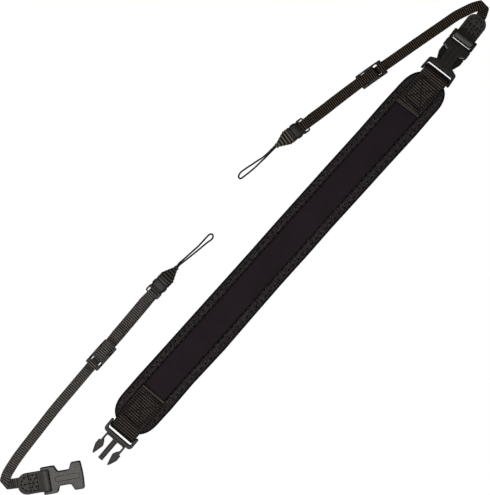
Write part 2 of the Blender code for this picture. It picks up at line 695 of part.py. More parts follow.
def make_tip(name, place, material):
    """Cord half: a full shoulder and a ribbed nose that narrows to the cord."""
    rows = [(SOCKET_END + GAP, 6.4, 0.2, 5.6), (16.8, 7.2, 0.0, 5.9), (21.4, 7.5, 0.0, 6.0)]
    # ribs: position and half width of each crest, with a groove behind it
    for x, half_width in ((22.8, 7.5), (25.4, 6.6), (28.0, 5.2), (30.6, 3.6)):
        high = 3.0 + 3.0 * half_width / 7.5
        rows.append((x, half_width, 0.0, high))
        rows.append((x + 1.3, half_width - 0.4, 0.15, high - 0.2))
        rows.append((x + 1.6, half_width - 0.9, 0.4, high - 0.6))
    rows += [(33.4, 2.3, 0.2, 3.4), (NOSE_END - 0.5, 1.8, 0.25, 3.0), (NOSE_END, 1.4, 0.5, 2.7)]
    return finish(name, loft(rows), material, place)


# Middle of each cord, x and y, from the nose along one strand, round the tip and back.
CORD_ROUTE = {
    "left": [(-75.9, 65.1), (-72.5, 65.15), (-64.8, 64.4), (-57.1, 63.5), (-49.4, 62.7), (-41.8, 62.25),
             (-35.0, 62.1), (-31.6, 61.6), (-30.0, 59.9), (-31.2, 58.2), (-35.0, 57.7), (-41.8, 58.7),
             (-49.4, 59.9), (-57.1, 61.1), (-64.8, 62.25), (-72.5, 63.45), (-75.9, 63.7)],
    "right": [(74.2, 71.9), (70.0, 72.3), (61.9, 72.7), (55.2, 73.6), (45.6, 76.1), (36.0, 78.5),
              (31.3, 79.3), (28.3, 79.0), (26.8, 77.3), (27.9, 75.5), (31.2, 74.9), (36.0, 73.9),
              (45.6, 72.2), (55.2, 71.2), (61.9, 70.9), (70.0, 70.75), (74.2, 70.5)],
}
CORD_EXIT_HEIGHT = 1.6


def make_cord(side, material):
    """Round cord that leaves the nose, loops and comes back to it, lying on the table."""
    flat = Route([Vector((x, y, 0.0)) for x, y in CORD_ROUTE[side]])
    count = int(flat.length / CORD_STEP)
    lying = CORD_DIAMETER / 2.0 + 0.02
    curve = bpy.data.curves.new(f"cord_loop_{side}", "CURVE")
    curve.dimensions = "3D"
    line = curve.splines.new("POLY")
    line.points.add(count)
    for k in range(count + 1):
        distance = flat.length * k / count
        from_nose = min(distance, flat.length - distance)
        point = flat.at(distance)
        height = lying + (CORD_EXIT_HEIGHT - lying) * (1.0 - smooth((from_nose - 1.0) / 9.0))
        line.points[k].co = (point.x * MM, point.y * MM, height * MM, 1.0)
    curve.bevel_depth = CORD_DIAMETER / 2.0 * MM
    curve.bevel_resolution = 2
    curve.use_fill_caps = True
    curve.materials.append(material)
    piece = bpy.data.objects.new(f"cord_loop_{side}", curve)
    bpy.context.collection.objects.link(piece)
    return piece


def make_arm(side, bar, outward, connector_heading, ring_shift, materials):
    """Leather tab, folded strap, adjuster, connector and cord of one arm."""
    webbing, leather, plastic, cord = materials
    make_leather_tab(side, bar, outward, leather)
    stations, route, slider = strap_stations(side)
    finish(f"strap_{side}", band(stations, THIN_THICKNESS), webbing)
    where = route.at(slider)
    make_adjuster(f"adjuster_{side}", ((where.x, where.y, 0.0), route.facing(slider)), plastic)
    end = route.at(route.length)
    ring = end - heading(connector_heading) * LOOP_CENTRE
    ring += heading(connector_heading + 90.0) * ring_shift
    place = ((ring.x, ring.y, 0.0), connector_heading)
    make_socket(f"connector_socket_{side}", place, plastic)
    make_tip(f"connector_tip_{side}", place, plastic)
    make_cord(side, cord)


def build():
    for piece in list(bpy.data.objects):
        bpy.data.objects.remove(piece)
    webbing = new_material("woven_webbing", WEBBING_COLOUR, 0.8)
    panel = new_material("foam_panel", PANEL_COLOUR, 0.9)
    tape = new_material("edge_tape", TAPE_COLOUR, 0.8)
    plastic = new_material("black_plastic", PLASTIC_COLOUR, 0.42)
    leather = new_material("black_leather", LEATHER_COLOUR, 0.55)
    cord = new_material("braided_cord", CORD_COLOUR, 0.7)

    make_pad(panel)
    make_edge_tape(tape)
    make_pad_webbing("left", *MALE_LEFT, webbing)
    make_pad_webbing("right", *FEMALE_RIGHT, webbing)

    make_male("male_buckle_left", "wide", MALE_LEFT, 0.0, plastic)
    make_female("female_buckle_left", "narrow", FEMALE_LEFT, plastic)
    make_female("female_buckle_right", "wide", FEMALE_RIGHT, plastic)
    bar, facing = FEMALE_RIGHT
    male_bar = Vector(bar) + heading(facing) * PAIR_LENGTH
    male_right = (tuple(male_bar), facing + 180.0)
    make_male("male_buckle_right", "narrow", male_right, PRONG_SQUEEZE_CLOSED, plastic)

    arm_materials = (webbing, leather, plastic, cord)
    make_arm("left", *FEMALE_LEFT, -1.0, 0.5, arm_materials)
    make_arm("right", *male_right, 168.8, 0.0, arm_materials)


build()
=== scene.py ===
import math
from bisect import bisect_right

import bmesh
import bpy
from mathutils import Matrix, Vector


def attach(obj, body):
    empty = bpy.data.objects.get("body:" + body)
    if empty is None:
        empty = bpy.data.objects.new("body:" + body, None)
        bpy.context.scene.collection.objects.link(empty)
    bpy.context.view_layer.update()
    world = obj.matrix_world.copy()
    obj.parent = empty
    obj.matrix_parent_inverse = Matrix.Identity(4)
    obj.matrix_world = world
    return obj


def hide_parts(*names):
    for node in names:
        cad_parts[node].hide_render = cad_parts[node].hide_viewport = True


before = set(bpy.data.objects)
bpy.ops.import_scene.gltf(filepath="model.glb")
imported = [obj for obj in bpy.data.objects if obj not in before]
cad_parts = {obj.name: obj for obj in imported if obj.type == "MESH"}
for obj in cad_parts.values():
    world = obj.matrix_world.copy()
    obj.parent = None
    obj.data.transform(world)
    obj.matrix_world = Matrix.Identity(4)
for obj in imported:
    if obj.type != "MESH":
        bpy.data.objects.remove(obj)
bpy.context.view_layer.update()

scene = bpy.context.scene

# ------------------------------------------------------------------ studio
# A white light table under three soft panels. The broad one hangs over the open buckle's side,
# so the plastic there shines and the fastened end stays dark. The camera looks straight down.
MM = 0.001
WATCH_POINT = (-18.44, 28.03, 4.0)
PHOTO_TALL = 475.2
LENS = 135.0
SENSOR = 36.0
PHOTO_TURN = -48.22
# in metres
TABLE_HALF_SIDE = 6.0
TABLE_GAP = 0.0002


def to_mesh(name, bm):
    """Store a working mesh under a name."""
    mesh = bpy.data.meshes.new(name)
    bm.to_mesh(mesh)
    bm.free()
    return mesh


def lit_white(name):
    """White table surface, lit from inside, with a very faint mottle."""
    material = bpy.data.materials.new(name)
    material.use_nodes = True
    nodes, links = material.node_tree.nodes, material.node_tree.links
    shader = nodes["Principled BSDF"]
    shader.inputs["Roughness"].default_value = 0.9
    shader.inputs["Specular IOR Level"].default_value = 0.1
    shader.inputs["Emission Strength"].default_value = 1.0
    place = nodes.new("ShaderNodeTexCoord")
    mottle = nodes.new("ShaderNodeTexNoise")
    mottle.inputs["Scale"].default_value = 6.0
    for slot, high, low in (("Base Color", 0.04, 0.03), ("Emission Color", 0.99, 0.97)):
        tint = nodes.new("ShaderNodeMix")
        tint.data_type = "RGBA"
        tint.inputs["A"].default_value = (high, high, high, 1.0)
        tint.inputs["B"].default_value = (low, low, low, 1.0)
        links.new(mottle.outputs["Fac"], tint.inputs["Factor"])
        links.new(tint.outputs["Result"], shader.inputs[slot])
    links.new(place.outputs["Object"], mottle.inputs["Vector"])
    return material


table_top = bmesh.new()
bmesh.ops.create_grid(table_top, x_segments=2, y_segments=2, size=TABLE_HALF_SIDE)
bmesh.ops.translate(table_top, vec=(0.0, 0.0, -TABLE_GAP), verts=table_top.verts)
light_table = bpy.data.objects.new("light_table", to_mesh("light_table", table_top))
light_table.data.materials.append(lit_white("table_white"))
light_table.visible_glossy = False
light_table.visible_diffuse = False
scene.collection.objects.link(light_table)

world = bpy.data.worlds.new("studio_air")
world.use_nodes = True
world.node_tree.nodes["Background"].inputs["Color"].default_value = (1.0, 1.0, 1.0, 1.0)
world.node_tree.nodes["Background"].inputs["Strength"].default_value = 0.08
scene.world = world
scene.view_settings.view_transform = "Standard"

# name, place in metres, point it faces, width, height, watts, colour
PANELS = [
    ("panel_over_open_side", (-0.42, 0.03, 1.30), (-0.34, 0.03, 0.0), 0.6, 0.9, 11.0, (1.0, 0.955, 0.89)),
    ("panel_high", (-0.30, 1.15, 1.20), (0.0, 0.05, 0.0), 1.0, 0.8, 6.0, (1.0, 0.98, 0.96)),
    ("panel_fill", (0.95, -0.95, 1.10), (0.0, 0.0, 0.0), 1.0, 0.8, 4.2, (1.0, 1.0, 1.0)),
]
for name, place, aim, width, height, watts, colour in PANELS:
    panel = bpy.data.lights.new(name, "AREA")
    panel.shape = "RECTANGLE"
    panel.size = width
    panel.size_y = height
    panel.energy = watts
    panel.color = colour
    holder = bpy.data.objects.new(name, panel)
    holder.location = place
    holder.rotation_euler = (Vector(place) - Vector(aim)).to_track_quat("Z", "Y").to_euler()
    scene.collection.objects.link(holder)

lens = bpy.data.cameras.new("photo_lens")
lens.lens = LENS
lens.sensor_width = SENSOR
lens.clip_end = 20.0
camera = bpy.data.objects.new("photo_camera", lens)
camera.location = Vector(WATCH_POINT) * MM + Vector((0.0, 0.0, PHOTO_TALL * MM * LENS / SENSOR))
camera.rotation_euler = (0.0, 0.0, math.radians(PHOTO_TURN))
scene.collection.objects.link(camera)
scene.camera = camera


# ------------------------------------------------------------------ thin cords
# Fine braided cord, 1.2 mm thick, doubled into a loop that hitches round a camera's lug.
# Both ends are moulded into the nose of the small connector.
CORD_DIAMETER = 1.2
CORD_EXIT_HEIGHT = 1.6
CORD_SIDES = 12
CORD_BRAID = 1.15
CORD_STEP = 0.45
CORD_FUZZ = 0.23
ROUTE_STEPS = 12
CORD_ROUTE = {
    "left": [(-76.4, 65.1), (-73.9, 65.0), (-71.2, 65.1), (-64.9, 64.3), (-54.9, 63.2), (-47.8, 62.4),
             (-42.7, 62.2), (-37.8, 62.2), (-33.3, 62.1), (-31.0, 61.4), (-30.0, 59.9), (-31.0, 58.0),
             (-33.8, 57.2), (-38.2, 58.1), (-43.1, 58.9), (-48.1, 59.6), (-55.1, 60.7), (-65.1, 62.4),
             (-71.6, 63.6), (-73.9, 63.7), (-76.4, 63.8)],
    "right": [(73.9, 71.7), (71.7, 71.7), (68.2, 71.95), (65.2, 72.1), (62.9, 72.3), (57.7, 73.0),
              (53.7, 74.1), (49.8, 75.2), (45.9, 76.1), (42.0, 77.2), (37.7, 78.3), (33.1, 79.2),
              (29.9, 78.9), (27.9, 77.6), (27.7, 76.2), (28.4, 75.2), (30.9, 74.5), (34.2, 73.9),
              (38.6, 73.1), (42.9, 72.5), (46.7, 72.0), (50.4, 71.8), (54.3, 71.5), (58.3, 71.1),
              (62.0, 71.0), (65.2, 70.8), (68.2, 70.65), (71.7, 70.4), (73.9, 70.4)],
}


def smooth(value):
    """Ease from 0 to 1."""
    value = min(max(value, 0.0), 1.0)
    return value * value * (3.0 - 2.0 * value)


def milestones(points):
    """Distance walked when each of the points is reached."""
    marks = [0.0]
    for a, b in zip(points, points[1:]):
        marks.append(marks[-1] + (b - a).length)
    return marks


def between(marks, distance):
    """The step between two milestones that holds a distance, and the share of it that is walked."""
    k = min(bisect_right(marks, distance) - 1, len(marks) - 2)
    return k, (distance - marks[k]) / (marks[k + 1] - marks[k])


def leftward(way):
    """Flat direction square to another, to its left."""
    return Vector((-way.y, way.x, 0.0))


class Route:
    """A curve through points, read by the distance along it, in millimetres."""

    def __init__(self, corners):
        points = [Vector((x, y, 0.0)) for x, y in corners]
        padded = [2 * points[0] - points[1], *points, 2 * points[-1] - points[-2]]
        self.points = []
        for a, b, c, d in zip(padded, padded[1:], padded[2:], padded[3:]):
            for k in range(ROUTE_STEPS):
                t = k / ROUTE_STEPS
                bend = (2 * a - 5 * b + 4 * c - d) * t * t + (3 * b - a - 3 * c + d) * t ** 3
                self.points.append(0.5 * ((2 * b) + (c - a) * t + bend))
        self.points.append(points[-1].copy())
        self.marks = milestones(self.points)
        self.length = self.marks[-1]

    def at(self, distance):
        k, share = between(self.marks, min(max(distance, 0.0), self.length))
        return self.points[k].lerp(self.points[k + 1], share)

    def facing(self, distance):
        """Heading in degrees, taken over 1 mm to either side."""
        step = self.at(distance + 1.0) - self.at(distance - 1.0)
        return math.degrees(math.atan2(step.y, step.x))


def roll_out(columns, rows, place, capped=True):
    """A grid of cloth, each corner of it carried to place(column, row), in millimetres.

    Edges that meet are joined, ends that stay open are closed, and the grid keeps its UV map.
    """
    bm = bmesh.new()
    bmesh.ops.create_grid(bm, x_segments=columns, y_segments=rows, size=1.0)
    uv = bm.loops.layers.uv.new("UVMap")
    for face in bm.faces:
        for loop in face.loops:
            corner = loop.vert.co
            loop[uv].uv = ((corner.x + 1.0) / 2.0, (corner.y + 1.0) / 2.0)
    for vert in bm.verts:
        column = round((vert.co.x + 1.0) / 2.0 * columns)
        row = round((vert.co.y + 1.0) / 2.0 * rows)
        vert.co = place(column, row)
    bmesh.ops.remove_doubles(bm, verts=bm.verts, dist=1e-4)
    if capped:
        bmesh.ops.holes_fill(bm, edges=[edge for edge in bm.edges if edge.is_boundary], sides=0)
    bmesh.ops.recalc_face_normals(bm, faces=bm.faces)
    if capped and bm.calc_volume(signed=True) < 0.0:
        bmesh.ops.reverse_faces(bm, faces=bm.faces)
    return bm


def set_down(name, bm, material, node=None, sharp=40.0):
    """Turn a millimetre mesh into a shown piece that rides on the strap, in place of a CAD node if named.

    Edges that bend by more than sharp degrees are drawn as edges, all others smooth.
    """
    bmesh.ops.scale(bm, vec=(MM, MM, MM), verts=bm.verts)
    mesh = to_mesh(name, bm)
    mesh.shade_smooth()
    mesh.set_sharp_from_angle(angle=math.radians(sharp))
    mesh.materials.append(material)
    piece = bpy.data.objects.new(name, mesh)
    scene.collection.objects.link(piece)
    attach(piece, "root")
    if node:
        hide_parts(node)
    return piece


def srgb(red, green, blue):
    """Linear colour from a screen colour given as 0 to 255."""
    linear = []
    for value in (red, green, blue):
        value /= 255.0
        linear.append(value / 12.92 if value <= 0.04045 else ((value + 0.055) / 1.055) ** 2.4)
    return (*linear, 1.0)


class Finish:
    """A Principled material under construction, with a short call for each kind of node.

    Sizes are in millimetres, colours are screen colours from 0 to 255.
    """

    # width of one band of a wave texture at scale 1
    ONE_BAND = 0.314159

    def __init__(self, name, roughness, specular):
        self.material = bpy.data.materials.new(name)
        self.material.use_nodes = True
        self.tree = self.material.node_tree
        self.shader = self.tree.nodes["Principled BSDF"]
        self.feed(self.shader, {"Roughness": roughness, "Specular IOR Level": specular})
        self.coordinates = self.tree.nodes.new("ShaderNodeTexCoord")
        self.shade = None

    def feed(self, node, inputs):
        """Link each input to the socket that is given for it, or else set it to the value."""
        for slot, value in inputs.items():
            if isinstance(value, bpy.types.NodeSocket):
                self.tree.links.new(value, node.inputs[slot])
            else:
                node.inputs[slot].default_value = value
        return node

    def node(self, kind, inputs):
        return self.feed(self.tree.nodes.new(f"ShaderNode{kind}"), inputs)

    def grid(self, along, around, turn=0.0):
        """The piece's UV map stretched to the sizes given, and turned by degrees."""
        return self.node("Mapping", {"Vector": self.coordinates.outputs["UV"], "Scale": (along, around, 1.0),
                                     "Rotation": (0.0, 0.0, math.radians(turn))}).outputs["Vector"]

    def space(self):
        """Object coordinates."""
        return self.node("Mapping", {"Vector": self.coordinates.outputs["Object"],
                                     "Scale": (1000.0, 1000.0, 1000.0)}).outputs["Vector"]

    def bands(self, vector, pitch, direction="X", distortion=0.0):
        """Soft bands, from 0 to 1 and back over each pitch."""
        node = self.node("TexWave", {"Vector": vector, "Scale": self.ONE_BAND / pitch,
                                     "Distortion": distortion, "Detail": 1.0, "Detail Scale": 1.5})
        node.bands_direction = direction
        return node.outputs["Fac"]

    def axis(self, vector, name):
        return self.node("SeparateXYZ", {"Vector": vector}).outputs[name]

    def noise(self, vector, size, detail=3.0, roughness=0.55):
        return self.node("TexNoise", {"Vector": vector, "Scale": 1.0 / size, "Detail": detail,
                                      "Roughness": roughness}).outputs["Fac"]

    def cells(self, vector, size):
        return self.node("TexVoronoi", {"Vector": vector, "Scale": 1.0 / size}).outputs["Distance"]

    def math(self, operation, first, second=0.0):
        node = self.node("Math", {0: first, 1: second})
        node.operation = operation
        return node.outputs["Value"]

    def away(self, value, middle):
        """How far a value is from the middle one."""
        return self.math("ABSOLUTE", self.math("SUBTRACT", value, middle))

    def span(self, value, low, high, out_low=0.0, out_high=1.0):
        """Carry the range low to high over to another one, and hold it at both ends."""
        return self.node("MapRange", {"Value": value, "From Min": low, "From Max": high, "To Min": out_low,
                                      "To Max": out_high}).outputs["Result"]

    def base(self, share, first, second):
        """The ground colour, from the first to the second."""
        self.shade = srgb(*first)
        self.cover(share, second)

    def cover(self, share, colour):
        """Lay a colour over what is there."""
        node = self.tree.nodes.new("ShaderNodeMix")
        node.data_type = "RGBA"
        self.feed(node, {"Factor": share, "A": self.shade, "B": srgb(*colour)})
        self.shade = node.outputs["Result"]

    def gloss(self, roughness):
        self.feed(self.shader, {"Roughness": roughness})

    def relief(self, height, depth, strength=1.0):
        """Bump of that depth. Calls add up."""
        node = self.node("Bump", {"Height": height, "Distance": depth * MM, "Strength": strength})
        normal = self.shader.inputs["Normal"]
        if normal.is_linked:
            self.feed(node, {"Normal": normal.links[0].from_socket})
        self.feed(self.shader, {"Normal": node.outputs["Normal"]})

    def painted(self):
        self.feed(self.shader, {"Base Color": self.shade})
        return self.material


def braided_cord(name, length):
    """Black round braid: two sets of strands that cross on the slant."""
    finish = Finish(name, 0.62, 0.3)
    around = math.pi * CORD_DIAMETER
    one_way = finish.bands(finish.grid(length, around * 1.5, 38.0), CORD_BRAID * 0.45)
    other_way = finish.bands(finish.grid(length, around * 1.5, -38.0), CORD_BRAID * 0.45)
    strands = finish.math("MULTIPLY", one_way, other_way)
    finish.base(strands, (7, 6, 6), (44, 41, 38))
    finish.relief(strands, 0.12)
    return finish.painted()


for side, corners in CORD_ROUTE.items():
    flat = Route(corners)
    lying = CORD_DIAMETER / 2.0 + 0.28
    steps = int(flat.length / CORD_STEP)
    line = []
    for k in range(steps + 1):
        distance = flat.length * k / steps
        from_nose = min(distance, flat.length - distance)
        point = flat.at(distance)
        point.z = lying + (CORD_EXIT_HEIGHT - lying) * (1.0 - smooth((from_nose - 1.0) / 9.0))
        line.append(point)

    def cord_place(column, row):
        here = line[column]
        travel = line[min(column + 1, steps)] - line[max(column - 1, 0)]
        sideways = leftward(travel).normalized()
        upward = travel.cross(sideways).normalized() * -1.0
        turn = 2.0 * math.pi * (row % CORD_SIDES) / CORD_SIDES
        wave = math.sin(math.pi * column * CORD_STEP / CORD_BRAID * 2.0 + (row % 2) * math.pi)
        radius = CORD_DIAMETER / 2.0 + CORD_FUZZ + 0.04 * wave
        return here + (sideways * math.cos(turn) + upward * math.sin(turn)) * radius

    bm = roll_out(steps, CORD_SIDES, cord_place)
    finish = braided_cord(f"braid_{side}", flat.length)
    cord = set_down(f"cord_{side}", bm, finish, f"cord_loop_{side}")


# ------------------------------------------------------------------ foam pad
# Stretch knit over a flat foam core, smooth and soft to the skin on both faces.
# Its edge goes into the folded tape, and its ends are pressed flat under the webbing.
PAD_LENGTH = 448.8
PAD_WIDTH = 44.2
PAD_CORNER = (24.4, 20.0)
PAD_CORNER_POWER = 2.4
# distance from the middle, then where the far and the near edge really lie
PAD_SIDES = [(-224.0, 21.9, -22.3), (-200.0, 22.3, -22.6), (-180.0, 22.6, -22.8), (-150.0, 22.4, -22.1),
             (-105.0, 22.3, -23.0), (-60.0, 22.1, -22.2), (-20.0, 22.0, -21.7), (20.0, 22.25, -21.9),
             (50.0, 22.2, -21.6), (90.0, 22.15, -22.0), (138.0, 21.85, -22.35), (172.0, 22.3, -22.8),
             (198.0, 22.0, -22.2), (212.0, 21.4, -22.4), (224.0, 21.0, -22.8)]
FAR_SIDE = [(x, far) for x, far, _ in PAD_SIDES]
NEAR_SIDE = [(x, near) for x, _, near in PAD_SIDES]
TAPE_OUTSIDE = 6.8
TAPE_THICKNESS = 0.7
TAPE_LIP = 8.6
HEM_FROM_CENTRE = {"left": 180.6, "right": 184.1}
SQUEEZE_RAMP = 8.0
WIDE_THICKNESS = 1.5
SEWN_GAP = 0.3
# how far the webbing sewn over a pad's end stands above the free tape
WEBBING_PROUD = 0.5
ZIGZAG_PITCH = 6.65
ZIGZAG_OUTER = 4.5
ZIGZAG_INNER = 8.6


def squeeze_at(x):
    """How far the pad is pressed flat by the webbing sewn over its end, from 0 to 1."""
    hem = HEM_FROM_CENTRE["left"] if x < 0.0 else HEM_FROM_CENTRE["right"]
    return smooth((abs(x) - hem + 1.0 + SQUEEZE_RAMP) / SQUEEZE_RAMP)


def squeezed(point, top):
    """Height with the webbing's pressure added: the top comes down and the underside up."""
    if top:
        point.z += (WIDE_THICKNESS + SEWN_GAP - WEBBING_PROUD) * -squeeze_at(point.x)
    else:
        point.z += (WIDE_THICKNESS + SEWN_GAP) * squeeze_at(point.x)
    return point


def look_up(rows, at):
    """Read a two column table, straight between its rows."""
    if at <= rows[0][0]:
        return rows[0][1]
    for (start, low), (end, high) in zip(rows, rows[1:]):
        if at <= end:
            return low + (high - low) * (at - start) / (end - start)
    return rows[-1][1]


def to_sides(point):
    """Carry a point of an even pad to the pad's true sides, which bow a little."""
    far, near = look_up(FAR_SIDE, point.x), look_up(NEAR_SIDE, point.x)
    point.y = (far + near) / 2.0 + point.y * (far - near) / PAD_WIDTH
    return point


def knit_panel():
    """Dark stretch knit: fine wales and courses, a brushed bloom and a faint purple cast, with painted shade
    along the tape and the hems.
    """
    finish = Finish("stretch_knit", 0.95, 0.12)
    place = finish.space()
    wales = finish.bands(place, 0.55, "Y", 0.6)
    courses = finish.bands(place, 0.62, "X", 0.6)
    knit = finish.math("MULTIPLY", wales, courses)
    cloud = finish.noise(place, 26.0, 4.0)
    fuzz = finish.noise(place, 0.35, 2.0)
    finish.base(finish.span(cloud, 0.32, 0.68), (34, 27, 33), (40, 32, 39))
    finish.cover(finish.span(fuzz, 0.4, 0.75, 0.0, 0.35), (52, 46, 51))
    finish.cover(finish.span(knit, 0.0, 0.5, 0.35, 0.0), (20, 16, 20))
    # painted shade: the knit is drawn in along the tape, and there and along both hems it is painted darker,
    # as the shade of the tape and of the hems
    x, y = finish.axis(place, "X"), finish.axis(place, "Y")
    knit_painted_shade = finish.span(finish.away(y, 0.45), 11.4, 12.8)
    for hem, slant in ((-HEM_FROM_CENTRE["left"], -0.035), (HEM_FROM_CENTRE["right"], 0.076)):
        along = finish.math("ADD", finish.math("MULTIPLY", x, math.copysign(1.0, hem)),
                            finish.math("MULTIPLY", y, abs(slant)))
        knit_painted_shade = finish.math("MAXIMUM", knit_painted_shade, finish.span(along, abs(hem) - 2.1, abs(hem) - 0.4))
    # the painted shade is broken up a little by noise
    uneven = finish.span(finish.noise(place, 1.8, 2.0), 0.35, 0.65, 0.45, 0.95)
    finish.cover(finish.math("MULTIPLY", knit_painted_shade, uneven), (8, 6, 8))
    finish.relief(knit, 0.10, 0.6)
    finish.relief(cloud, 0.5, 0.35)
    finish.feed(finish.shader, {"Sheen Weight": 0.03, "Sheen Roughness": 0.5})
    return finish.painted()


PAD_COLUMNS = 260
PAD_ROWS = 36
CORE_INSET = TAPE_THICKNESS + 0.4


def core_height(inset, x):
    """Height of the core's top face at a distance in from the pad's edge."""
    under_tape = TAPE_OUTSIDE - TAPE_THICKNESS - 0.4
    crown = 0.95 * smooth((inset - TAPE_LIP - 0.4) / 4.2)
    crown += 0.25 * smooth((inset - 12.0) / 10.0)
    rim = -0.6 * (1.0 - smooth((inset - CORE_INSET) / 0.9))
    rim -= 0.35 * math.exp(-((inset - 9.3) / 0.7) ** 2)
    pucker = 0.05 * math.cos(2.0 * math.pi * x / ZIGZAG_PITCH) * math.exp(-((inset - 10.4) / 1.3) ** 2)
    return under_tape + crown + rim + pucker


def core_place(column, row, top):
    """A point of the pad's top or underside, by its column and row in the sheet."""
    share = column / PAD_COLUMNS * 2.0 - 1.0
    reach = PAD_LENGTH / 2.0 - CORE_INSET
    # columns crowd towards the round ends
    x = reach * (0.72 * share + 0.28 * math.sin(share * math.pi / 2.0)) if abs(share) < 1.0 else reach * share
    across = math.sin((row / PAD_ROWS * 2.0 - 1.0) * math.pi / 2.0 * 0.92) / math.sin(math.pi / 2.0 * 0.92)
    beyond = max(abs(x) - (PAD_LENGTH / 2.0 - PAD_CORNER[0]), 0.0)
    flat = PAD_WIDTH / 2.0 - PAD_CORNER[1]
    long, wide = PAD_CORNER[0] - CORE_INSET, PAD_CORNER[1] - CORE_INSET
    power = PAD_CORNER_POWER
    half = flat + wide * max(1.0 - (beyond / long) ** power, 0.0) ** (1.0 / power)
    y = across * half
    inset = CORE_INSET + half - abs(y)
    if beyond > 0.0:
        corner_y = max(abs(y) - flat, 0.0)
        out = ((beyond / long) ** power + (corner_y / wide) ** power) ** (1.0 / power)
        inset = CORE_INSET + max(1.0 - out, 0.0) * wide
    height = core_height(inset, x)
    if top:
        return squeezed(to_sides(Vector((x, y, height))), True)
    low = TAPE_OUTSIDE - height
    floor = 0.0 if inset > 9.8 else TAPE_THICKNESS + 0.4
    blend = smooth((inset - TAPE_LIP) / 2.0)
    low = max(low, 0.0) * (1.0 - blend) + floor * blend if inset > TAPE_LIP else low
    return squeezed(to_sides(Vector((x, y, max(low, 0.0)))), False)


top_sheet = roll_out(PAD_COLUMNS, PAD_ROWS, lambda c, r: core_place(c, r, True), capped=False)
under_sheet = roll_out(PAD_COLUMNS, PAD_ROWS, lambda c, r: core_place(c, r, False), capped=False)
under_mesh = to_mesh("pad_underside", under_sheet)
top_sheet.from_mesh(under_mesh)
bpy.data.meshes.remove(under_mesh)
rims = [edge for edge in top_sheet.edges if edge.is_boundary]
bmesh.ops.bridge_loops(top_sheet, edges=rims)
bmesh.ops.recalc_face_normals(top_sheet, faces=top_sheet.faces)
pad = set_down("foam_pad", top_sheet, knit_panel(), "neck_pad")


# ------------------------------------------------------------------ edge tape
# Woven tape folded over the pad's edge, lips on both faces, puckered where the needle went down.
# A zigzag of black thread holds it all the way round.
TAPE_COLUMNS = 900
CORNER_STEPS = 40
UPWARD = Vector((0.0, 0.0, 1.0))
TAPE_OUTLINE = [
    # inset from the edge, height
    (8.6, 6.15), (8.72, 6.5), (8.5, 6.78), (7.4, 6.86), (5.6, 6.84), (3.8, 6.82), (2.2, 6.74), (1.0, 6.42),
    (0.3, 5.75), (0.03, 4.9), (0.0, 3.4), (0.03, 1.9), (0.3, 1.05), (1.0, 0.38), (2.2, 0.06),
    (3.8, 0.0), (5.6, 0.0), (7.4, 0.0), (8.5, 0.02), (8.72, 0.3), (8.6, 0.65),
    (7.2, 0.7), (4.6, 0.7), (1.9, 0.78), (0.9, 1.5), (0.72, 3.4), (0.9, 5.3), (1.9, 6.02),
    (4.6, 6.1), (7.2, 6.1)]


def heading(degrees):
    """Flat direction, counted from +X."""
    angle = math.radians(degrees)
    return Vector((math.cos(angle), math.sin(angle), 0.0))


def edge_walk():
    """Edge point and outward direction by the distance walked round the pad, and the whole way round."""
    power = 2.0 / PAD_CORNER_POWER
    long, wide = PAD_CORNER
    walk = []
    for side_x, side_y, first in ((1, -1, -90.0), (1, 1, 0.0), (-1, 1, 90.0), (-1, -1, 180.0)):
        for k in range(CORNER_STEPS + 1):
            turn = heading(first + 90.0 * k / CORNER_STEPS)
            c, s = abs(turn.x), abs(turn.y)
            edge = Vector((side_x * (PAD_LENGTH / 2.0 - long + long * c ** power),
                           side_y * (PAD_WIDTH / 2.0 - wide + wide * s ** power), 0.0))
            way = Vector((side_x * c ** (2.0 - power) / long, side_y * s ** (2.0 - power) / wide, 0.0))
            walk.append((edge, way.normalized()))
    walk.append(walk[0])
    marks = milestones([edge for edge, _ in walk])

    def read(distance):
        k, share = between(marks, distance % marks[-1])
        (a, way_a), (b, way_b) = walk[k], walk[k + 1]
        return a.lerp(b, share), way_a.lerp(way_b, share).normalized()

    return read, marks[-1]


read_edge, edge_total = edge_walk()
zigzags = round(edge_total / ZIGZAG_PITCH)
zigzag_step = edge_total / zigzags


def tape_surface(distance, inset, height):
    """A point of the tape, drawn in and down a little at each needle hole."""
    edge, outward = read_edge(distance)
    phase = distance / zigzag_step * 2.0 * math.pi
    outer_row = math.exp(-((inset - ZIGZAG_OUTER) / 1.0) ** 2) * (0.5 + 0.5 * math.cos(phase)) ** 3
    inner_row = math.exp(-((inset - ZIGZAG_INNER) / 0.9) ** 2) * (0.5 - 0.5 * math.cos(phase)) ** 3
    middle = TAPE_OUTSIDE / 2.0
    dip = 0.34 * (outer_row + inner_row) * (1.0 if height > middle else -0.35)
    # the lip is broader on the near side, and each inner stitch pulls it back
    inset += (0.65 - 0.45 * outward.y) * smooth((inset - 5.5) / 2.6)
    inset -= 0.5 * (0.5 - 0.5 * math.cos(phase)) ** 3 * smooth((inset - 7.8) / 1.0)
    point = to_sides(edge - outward * inset)
    point.z = max(height - dip, 0.0)
    return squeezed(point, height > middle)


def tape_place(column, row):
    """A point of the tape by its column round the pad and its row in the folded outline."""
    inset, height = TAPE_OUTLINE[row % len(TAPE_OUTLINE)]
    return tape_surface(edge_total * (column % TAPE_COLUMNS) / TAPE_COLUMNS, inset, height)


